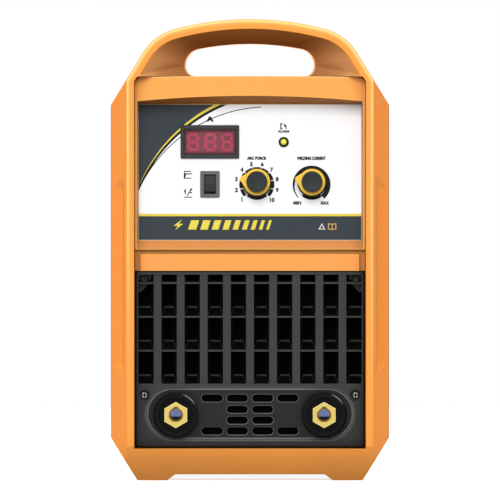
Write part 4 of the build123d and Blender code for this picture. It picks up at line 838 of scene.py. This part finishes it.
def flat_print(name, outlines, material, lift=INK_LIFT):
    """A thin print on the panel from closed outlines in front-view millimetres."""
    on_plane = [[(x, lean(z, PANEL_BASE_Z)) for x, z in outline] for outline in outlines]
    mesh = mesh_of(name, outline_curve(name, on_plane, INK_THICKNESS))
    settle(name, mesh, PANEL_PLANE @ Matrix.Translation((0, 0, lift * MM)), material)


def word(name, text, x, z, height, width, bold):
    """A printed generic word or number centred at a front-view point; None keeps the font's width."""
    curve = bpy.data.curves.new(name, "FONT")
    curve.body = text
    curve.offset = bold
    curve.resolution_u = FONT_STEPS
    mesh = mesh_of(name, curve)
    low = Vector((min(v.co.x for v in mesh.vertices), min(v.co.y for v in mesh.vertices), 0))
    high = Vector((max(v.co.x for v in mesh.vertices), max(v.co.y for v in mesh.vertices), 0))
    size = high - low
    tall = height * MM / size.y
    wide = width * MM / size.x if width else tall
    centre = Vector((x * MM, lean(z, PANEL_BASE_Z) * MM, INK_LIFT * MM))
    for vertex in mesh.vertices:
        away = vertex.co - (low + high) / 2
        vertex.co = centre + Vector((away.x * wide, away.y * tall, 0))
    settle(name, mesh, PANEL_PLANE, ink_black)


def arc(centre, radius, start, end, steps=48):
    """Points on an arc from a start to an end angle in degrees, anticlockwise if the end is larger."""
    points = []
    for step in range(steps + 1):
        angle = radians(start + (end - start) * step / steps)
        points.append((centre[0] + radius * cos(angle), centre[1] + radius * sin(angle)))
    return points


def ring_sector(centre, inner, outer, start, end, steps=60):
    """A closed band between two radii; each radius may be a pair, for its two ends."""
    points = []
    for radius, order in ((outer, range(steps + 1)), (inner, range(steps, -1, -1))):
        first, last = radius if isinstance(radius, tuple) else (radius, radius)
        for step in order:
            share = step / steps
            angle = radians(start + (end - start) * share)
            reach = first + (last - first) * share
            points.append((centre[0] + reach * cos(angle), centre[1] + reach * sin(angle)))
    return points


# A corner whose cosine is below this is drawn no further out.
SHARPEST_CORNER = 0.3


def stroke(points, width):
    """The outline of a line of a given width through the points, with square ends."""
    runs = [Vector((x1 - x0, z1 - z0)).normalized() for (x0, z0), (x1, z1) in zip(points, points[1:])]
    sides = ([], [])
    for index, (x, z) in enumerate(points):
        before, after = runs[max(index - 1, 0)], runs[min(index, len(runs) - 1)]
        along = (before + after).normalized()
        across = Vector((-along.y, along.x)) * width / 2 / max(along.dot(before), SHARPEST_CORNER)
        sides[0].append((x + across.x, z + across.y))
        sides[1].append((x - across.x, z - across.y))
    return sides[0] + sides[1][::-1]


ink_slate = ink("ink_slate", SLATE_PRINT, 0.45, 0.12)
ink_yellow = ink("ink_yellow", YELLOW_PRINT, 0.36, 0.2)
ink_black = ink("ink_black", BLACK_PRINT, 0.4, 0.1)
ink_pale = ink("ink_pale", display(214, 216, 216), 0.36)
ink_amber = ink("ink_amber", display(224, 170, 92), 0.36)
ink_white = ink("ink_white", WHITE_PRINT, 0.36)

# --- Label print: swoosh, lines and the lower band ---

EDGE_X = 89.8
TOP_Z = 303.0
LOW_Z = 193.9
SLATE_TOP_Z = 213.0
LINE_TOP_Z = 215.1


def angle_at(centre, radius, x=None, z=None):
    """The angle in degrees, left of the centre, where a circle meets a line of constant x or z."""
    if z is not None:
        rise = z - centre[1]
        return 180 - degrees(atan2(rise, (radius**2 - rise**2) ** 0.5))
    run = centre[0] - x
    return 180 - degrees(atan2((radius**2 - run**2) ** 0.5, run))


def swoosh(centre, radius):
    """An arc across the label's upper left corner, from its top edge to its left edge."""
    return arc(centre, radius, angle_at(centre, radius, z=TOP_Z), angle_at(centre, radius, x=-EDGE_X))


def band(low, high):
    """A rectangle across the whole label, between two heights."""
    return [(-EDGE_X, low), (EDGE_X, low), (EDGE_X, high), (-EDGE_X, high)]


slate_arc = swoosh((30.4, 186.9), 130.3)
yellow_arc = swoosh((29.0, 184.0), 130.05)
black_arc = swoosh((29.6, 182.3), 129.8)
FINE_CENTRE = (15.0, 185.7)
fine_arc = arc(FINE_CENTRE, 115.9, 93.0, 152.2)
fine_back = arc(FINE_CENTRE, 115.2, 152.2, 93.0)

flat_print("print_slate_corner", [slate_arc + [(-EDGE_X, TOP_Z)]], ink_slate)
flat_print("print_yellow_arc", [slate_arc + yellow_arc[::-1]], ink_yellow)
flat_print("print_black_arc", [yellow_arc + black_arc[::-1]], ink_black)
flat_print("print_fine_arc", [fine_arc + fine_back], ink_black)
flat_print("print_yellow_line", [band(SLATE_TOP_Z, LINE_TOP_Z)], ink_yellow)
flat_print("print_slate_band", [band(LOW_Z, SLATE_TOP_Z)], ink_slate)

# A plain motif of a bolt and slanted bars.
MOTIF_LOW_Z = 202.2
MOTIF_HIGH_Z = 209.8
SLANT = 0.32
BAR_COUNT = 9
FIRST_BAR_X = -50.0
FIRST_BAR_WIDTH = 6.6
BAR_SHRINK = 0.55
BAR_GAP = 3.2
bar_slant = (MOTIF_HIGH_Z - MOTIF_LOW_Z) * SLANT
motif = [[(-60.5, 201.6), (-54.0, 206.9), (-57.4, 206.9), (-54.6, 210.6), (-61.8, 205.2), (-58.2, 205.2)]]
bar_left = FIRST_BAR_X
for step in range(BAR_COUNT):
    bar_right = bar_left + FIRST_BAR_WIDTH - BAR_SHRINK * step
    motif.append(
        [
            (bar_left, MOTIF_LOW_Z), (bar_right, MOTIF_LOW_Z),
            (bar_right + bar_slant, MOTIF_HIGH_Z), (bar_left + bar_slant, MOTIF_HIGH_Z),
        ]
    )
    bar_left = bar_right + BAR_GAP
flat_print("print_motif", motif, ink_yellow, UPPER_INK_LIFT)
triangle = [(55.2, 202.3), (60.8, 202.3), (58.0, 207.4)]
hollow = [(56.4, 203.0), (59.6, 203.0), (58.0, 205.9)]
flat_print("print_triangle", [triangle, hollow], ink_pale, UPPER_INK_LIFT)
book_cover = [(63.0, 202.4), (63.0, 207.2), (66.3, 206.9), (69.6, 207.2), (69.6, 202.4), (66.3, 202.1)]
left_page = [(63.6, 203.0), (63.6, 206.6), (66.0, 206.3), (66.0, 202.7)]
right_page = [(69.0, 203.0), (69.0, 206.6), (66.6, 206.3), (66.6, 202.7)]
flat_print("print_book", [book_cover, left_page, right_page], ink_amber, UPPER_INK_LIFT)

# --- Scales around the knobs ---

ARC_X, CURRENT_X = [front_middle(name)[0] / MM for name in ("arc_force_knob", "current_knob")]
SCALE_Z = 238.5
SCALE_START = 225
SCALE_STEP = 30
SCALE_MARKS = 10
TICK_HALF_WIDTH = 1.6
NUMBER_REACH = 17.0
LAST_NUMBER_REACH = 17.6
NUMBER_HEIGHT = 3.6
# A black crescent is also printed below each knob, between these two radii.
UNDER_KNOB_INNER, UNDER_KNOB_OUTER = 9.0, 12.3
scale_angles = [SCALE_START - SCALE_STEP * mark for mark in range(SCALE_MARKS)]
segments = []
for first, second in zip(scale_angles, scale_angles[1:]):
    start, end = first - TICK_HALF_WIDTH, second + TICK_HALF_WIDTH
    segments.append(ring_sector((ARC_X, SCALE_Z), 11.4, 14.15, start, end, 12))
segments.append(ring_sector((ARC_X, SCALE_Z), UNDER_KNOB_INNER, UNDER_KNOB_OUTER, 228, 312))
flat_print("print_arc_force_scale", segments, ink_black)
for number, angle in enumerate(scale_angles, 1):
    reach = NUMBER_REACH if number < SCALE_MARKS else LAST_NUMBER_REACH
    x, z = ARC_X + reach * cos(radians(angle)), SCALE_Z + reach * sin(radians(angle))
    word(f"print_number_{number}", str(number), x, z, NUMBER_HEIGHT, None, 0.06)
CURRENT_RING_X = CURRENT_X - 0.3
WIDEST_ANGLE = 110
flat_print(
    "print_current_scale",
    [
        ring_sector((CURRENT_RING_X, SCALE_Z), (14.7, 12.0), 15.3, SCALE_START, WIDEST_ANGLE),
        ring_sector((CURRENT_RING_X, SCALE_Z), (12.0, 11.4), 15.3, WIDEST_ANGLE, -48),
        ring_sector((CURRENT_X, SCALE_Z), UNDER_KNOB_INNER, UNDER_KNOB_OUTER, 228, 310),
    ],
    ink_black,
)
word("print_min", "MIN", 38.1, 223.7, 3.0, 6.4, 0.06)
word("print_max", "MAX", 60.5, 223.7, 3.0, 6.8, 0.06)
word("print_arc_force", "ARC FORCE", ARC_X - 0.3, 259.8, 2.7, 15.4, 0.085)
word("print_welding_current", "WELDING CURRENT", CURRENT_X - 0.6, 259.7, 2.9, 23.4, 0.085)
word("print_ampere", "A", -32.3, 291.4, 4.3, 6.2, 0.08)
word("print_alarm", "ALARM", 27.0, 281.4, 2.1, 9.2, 0.07)
flat_print(
    "print_alarm_icon",
    [
        stroke([(26.2, 287.6), (24.9, 287.6), (24.9, 283.4), (26.2, 283.4)], 1.0),
        stroke([(27.4, 287.6), (28.2, 285.6), (28.8, 286.2), (29.2, 283.4)], 0.9),
    ],
    ink_black,
)
flat_print(
    "print_electrode_icon",
    [
        stroke([(-47.6, 249.2), (-53.0, 249.2), (-53.0, 247.2), (-46.6, 247.2)], 0.8),
        stroke([(-51.8, 246.9), (-53.0, 243.7), (-47.4, 243.7)], 0.8),
    ],
    ink_black,
)
flat_print(
    "print_torch_icon",
    [
        stroke([(-53.4, 228.4), (-46.6, 228.4)], 0.8),
        stroke([(-52.2, 230.6), (-52.2, 234.2), (-53.3, 232.8)], 0.9),
        stroke([(-50.6, 229.4), (-48.8, 232.6), (-46.8, 231.6)], 0.9),
        stroke([(-48.4, 233.4), (-46.8, 235.4)], 1.3),
    ],
    ink_black,
)

# --- Meter digits behind the red filter ---

METER_Z = 272.9
DIGIT_WIDTH = 9.6
DIGIT_HEIGHT = 14.6
SEGMENT = 2.3
# Gaps and points between upright segments, as shares of half a segment's width.
SEGMENT_GAP = 1.1
SEGMENT_POINT = 0.7
DIGIT_OFFSETS = (-13.4, 0.4, 13.9)
METER_MIDDLE = front_middle("meter_display")[0] / MM
# The digits lie this far behind the panel's face, under the filter.
DIGIT_LIFT = -1.3


def digit_outlines(x, z):
    """The seven segments of one digit around its centre."""
    half_w, half_h, t = DIGIT_WIDTH / 2, DIGIT_HEIGHT / 2, SEGMENT / 2
    outlines = []
    for level in (-half_h + t, 0, half_h - t):
        outlines.append(
            [
                (x - half_w + 2 * t, z + level - t), (x + half_w - 2 * t, z + level - t),
                (x + half_w - t, z + level), (x + half_w - 2 * t, z + level + t),
                (x - half_w + 2 * t, z + level + t), (x - half_w + t, z + level),
            ]
        )
    for side in (-half_w + t, half_w - t):
        for low, high in ((-half_h + 2 * t, -t * SEGMENT_GAP), (t * SEGMENT_GAP, half_h - 2 * t)):
            outlines.append(
                [
                    (x + side, z + low - t * SEGMENT_POINT),
                    (x + side + t, z + low), (x + side + t, z + high),
                    (x + side, z + high + t * SEGMENT_POINT),
                    (x + side - t, z + high), (x + side - t, z + low),
                ]
            )
    return outlines


# The digits glow, as painted light on them behind the filter.
digit_red = lit_block("digit_red", display(150, 34, 66), display(244, 56, 120), 0.45)
digits = []
for offset in DIGIT_OFFSETS:
    digits += digit_outlines(METER_MIDDLE + offset, METER_Z)
flat_print("meter_digits", digits, digit_red, DIGIT_LIFT)

# --- Rear panel: a blank rating plate and plain switch marks ---

rear_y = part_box("rear_panel")[1].y
REAR_PLANE = Matrix(((-1, 0, 0, 0), (0, 0, 1, rear_y), (0, 1, 0, 0), (0, 0, 0, 1)))
PLATE_X, PLATE_Z = -2.0, 206.0
PLATE_WIDTH, PLATE_HEIGHT = 60.0, 34.0
PLATE_CORNER = 2
PLATE_THICKNESS = 0.5
RULE_COUNT = 5
RULE_STEP = 6
RULE_HALF = 26
RULE_WIDTH = 0.4


def rounded(x, z, width, height, radius, steps=6):
    """A rectangle with round corners around a centre."""
    points = []
    for turn, (sx, sz) in enumerate(((1, 1), (-1, 1), (-1, -1), (1, -1))):
        centre = (x + sx * (width / 2 - radius), z + sz * (height / 2 - radius))
        points += arc(centre, radius, 90 * turn, 90 * turn + 90, steps)
    return points


def rear_print(name, outlines, material, lift=INK_LIFT, thickness=INK_THICKNESS):
    """A thin piece on the rear panel, from outlines in rear-view millimetres."""
    mesh = mesh_of(name, outline_curve(name, outlines, thickness))
    settle(name, mesh, REAR_PLANE @ Matrix.Translation((0, 0, (lift + thickness / 2) * MM)), material)


plate_metal = metal("plate_metal", display(200, 201, 200), 0.34, (1, 1, 30), 300)
plate = rounded(PLATE_X, PLATE_Z, PLATE_WIDTH, PLATE_HEIGHT, PLATE_CORNER)
rear_print("rating_plate", [plate], plate_metal, 0.0, PLATE_THICKNESS)
rules = []
for row in range(RULE_COUNT):
    rule_z = PLATE_Z + (row - (RULE_COUNT - 1) / 2) * RULE_STEP
    rules.append(stroke([(PLATE_X - RULE_HALF, rule_z), (PLATE_X + RULE_HALF, rule_z)], RULE_WIDTH))
rear_print("rating_plate_rules", rules, ink_black, PLATE_THICKNESS + 0.01)

# The switch marks stand this far above and below the middle of the switch.
MARK_ON_HEIGHTS = (45, 50)
MARK_OFF_DROP = 46
MARK_OFF_RADII = (2.8, 1.9)
# The rear view looks the other way, so x changes sign.
mark_x, mark_z = (value / MM for value in front_middle("breaker_body"))
mark_x = -mark_x
on_ends = [(mark_x, mark_z + rise) for rise in MARK_ON_HEIGHTS]
rear_print("mark_on", [stroke(on_ends, 1.0)], ink_white)
off_at = (mark_x, mark_z - MARK_OFF_DROP)
rear_print("mark_off", [arc(off_at, radius, 0, 350, 24) for radius in MARK_OFF_RADII], ink_white)
EARTH_DROP = 14
EARTH_LINE = 0.7
earth_x, earth_z = (value / MM for value in front_middle("earth_stud"))
earth_x, earth_z = -earth_x, earth_z - EARTH_DROP
earth_mark = [stroke([(earth_x, earth_z + 4), (earth_x, earth_z + 0.4)], EARTH_LINE)]
for half, drop in ((3.5, 0.0), (2.2, 1.6), (1.0, 3.2)):
    ends = [(earth_x - half, earth_z - drop), (earth_x + half, earth_z - drop)]
    earth_mark.append(stroke(ends, EARTH_LINE))
rear_print("mark_earth", earth_mark, ink_white)

# --- The bottoms of the two sockets ---

BORE_DEPTH = 25.85
BORE_RADIUS = 4.4
DISC_THICKNESS = 0.2
# The lit part of the floor starts this far below its middle.
LIT_DROP = 1.6
for side in ("left", "right"):
    contact = f"socket_contact_{side}"
    x, z = front_middle(contact)
    centre = Vector((x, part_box(contact)[0].y + BORE_DEPTH * MM, z))
    radius = BORE_RADIUS * MM
    shape = bmesh.new()
    bmesh.ops.create_cone(
        shape, cap_ends=True, segments=48, radius1=radius, radius2=radius, depth=DISC_THICKNESS * MM
    )
    disc = bpy.data.meshes.new(f"socket_floor_{side}")
    shape.transform(Matrix.Translation(centre) @ Matrix.Rotation(radians(90), 4, "X"))
    shape.to_mesh(disc)
    shape.free()
    # Each floor is a painted reflection above a level and painted shade below it.
    painted_floor_light = bore_floor(f"bore_floor_{side}", centre.z - LIT_DROP * MM)
    keep(new_object(f"socket_floor_{side}", disc), painted_floor_light, CASE)

# --- Stage, light and camera ---

FLOOR_RADIUS = 3.0
FLOOR_DROP = 0.0002
FLOOR_GLOW = 0.62
floor_mesh = bpy.data.meshes.new("floor")
shape = bmesh.new()
bmesh.ops.create_circle(shape, cap_ends=True, segments=96, radius=FLOOR_RADIUS)
shape.to_mesh(floor_mesh)
shape.free()
floor = new_object("floor", floor_mesh)
floor.location.z = -FLOOR_DROP
paper = Nodes("paper_floor")
paper_tone = paper.mottle(paper.noise(3, 4), (0.93, 0.93, 0.93, 1), (0.95, 0.95, 0.95, 1))
paper.join(paper_tone, paper.shader.inputs["Base Color"])
paper.shader.inputs["Emission Color"].default_value = (1, 1, 1, 1)
paper.shader.inputs["Emission Strength"].default_value = FLOOR_GLOW
paper.shader.inputs["Roughness"].default_value = 0.85
paper.shader.inputs["Specular IOR Level"].default_value = 0.1
floor_mesh.materials.append(paper.material)
floor.visible_diffuse = False

# The sky's brightness at heights from -1, straight down, to 1, straight up.
SKY_BANDS = ((-0.05, 0.5), (-0.03, 1.0), (0.03, 1.0), (0.06, 0.45), (0.35, 0.5), (0.7, 1.0))
world = bpy.data.worlds.new("studio")
bpy.context.scene.world = world
world.use_nodes = True
sky = world.node_tree
direction = sky.nodes.new("ShaderNodeTexCoord")
split = sky.nodes.new("ShaderNodeSeparateXYZ")
height = sky.nodes.new("ShaderNodeMapRange")
height.inputs["From Min"].default_value = -1.0
height.inputs["From Max"].default_value = 1.0
ramp = sky.nodes.new("ShaderNodeValToRGB")
bands = ramp.color_ramp
while len(bands.elements) < len(SKY_BANDS):
    bands.elements.new(0.5)
for element, (level, light) in zip(bands.elements, SKY_BANDS):
    element.position = (level + 1) / 2
    element.color = (light, light, light, 1)
sky.links.new(direction.outputs["Generated"], split.inputs[0])
sky.links.new(split.outputs["Z"], height.inputs["Value"])
sky.links.new(height.outputs["Result"], ramp.inputs["Fac"])
sky.links.new(ramp.outputs["Color"], sky.nodes["Background"].inputs["Color"])
sky.nodes["Background"].inputs["Strength"].default_value = 1.0

LIGHT_TARGET = Vector((0, 0, 0.2))


def aim(obj, place, target):
    """Moves a light or a camera to a place and turns it to a target."""
    obj.location = place
    obj.rotation_euler = (target - Vector(place)).to_track_quat("-Z", "Y").to_euler()


def softbox(name, place, width, power):
    """A square area light that faces the object."""
    light = bpy.data.lights.new(name, "AREA")
    light.size = width
    light.energy = power
    aim(new_object(name, light), place, LIGHT_TARGET)


softbox("front_box", (-0.5, -4.0, 2.4), 2.4, 120)
softbox("left_box", (-4.2, 0.2, 2.2), 2.0, 36)
softbox("right_box", (4.2, 0.2, 2.2), 2.0, 36)
softbox("rear_box", (0.5, 4.2, 2.4), 2.0, 36)

LENS = 1400
SENSOR = 36
FRAME_WIDTH = 0.403
VIEW_CENTRE_Z = 0.1859
CAMERA_Z = 0.338
front_y = CAD_BOX[0][1]
distance = FRAME_WIDTH / (SENSOR / LENS)
camera_data = bpy.data.cameras.new("camera")
camera_data.lens = LENS
camera_data.sensor_width = SENSOR
camera_data.clip_end = 200
camera = new_object("camera", camera_data)
aim(camera, (0, front_y - distance, CAMERA_Z), Vector((0, front_y, VIEW_CENTRE_Z)))
bpy.context.scene.camera = camera
bpy.context.scene.view_settings.view_transform = "Standard"
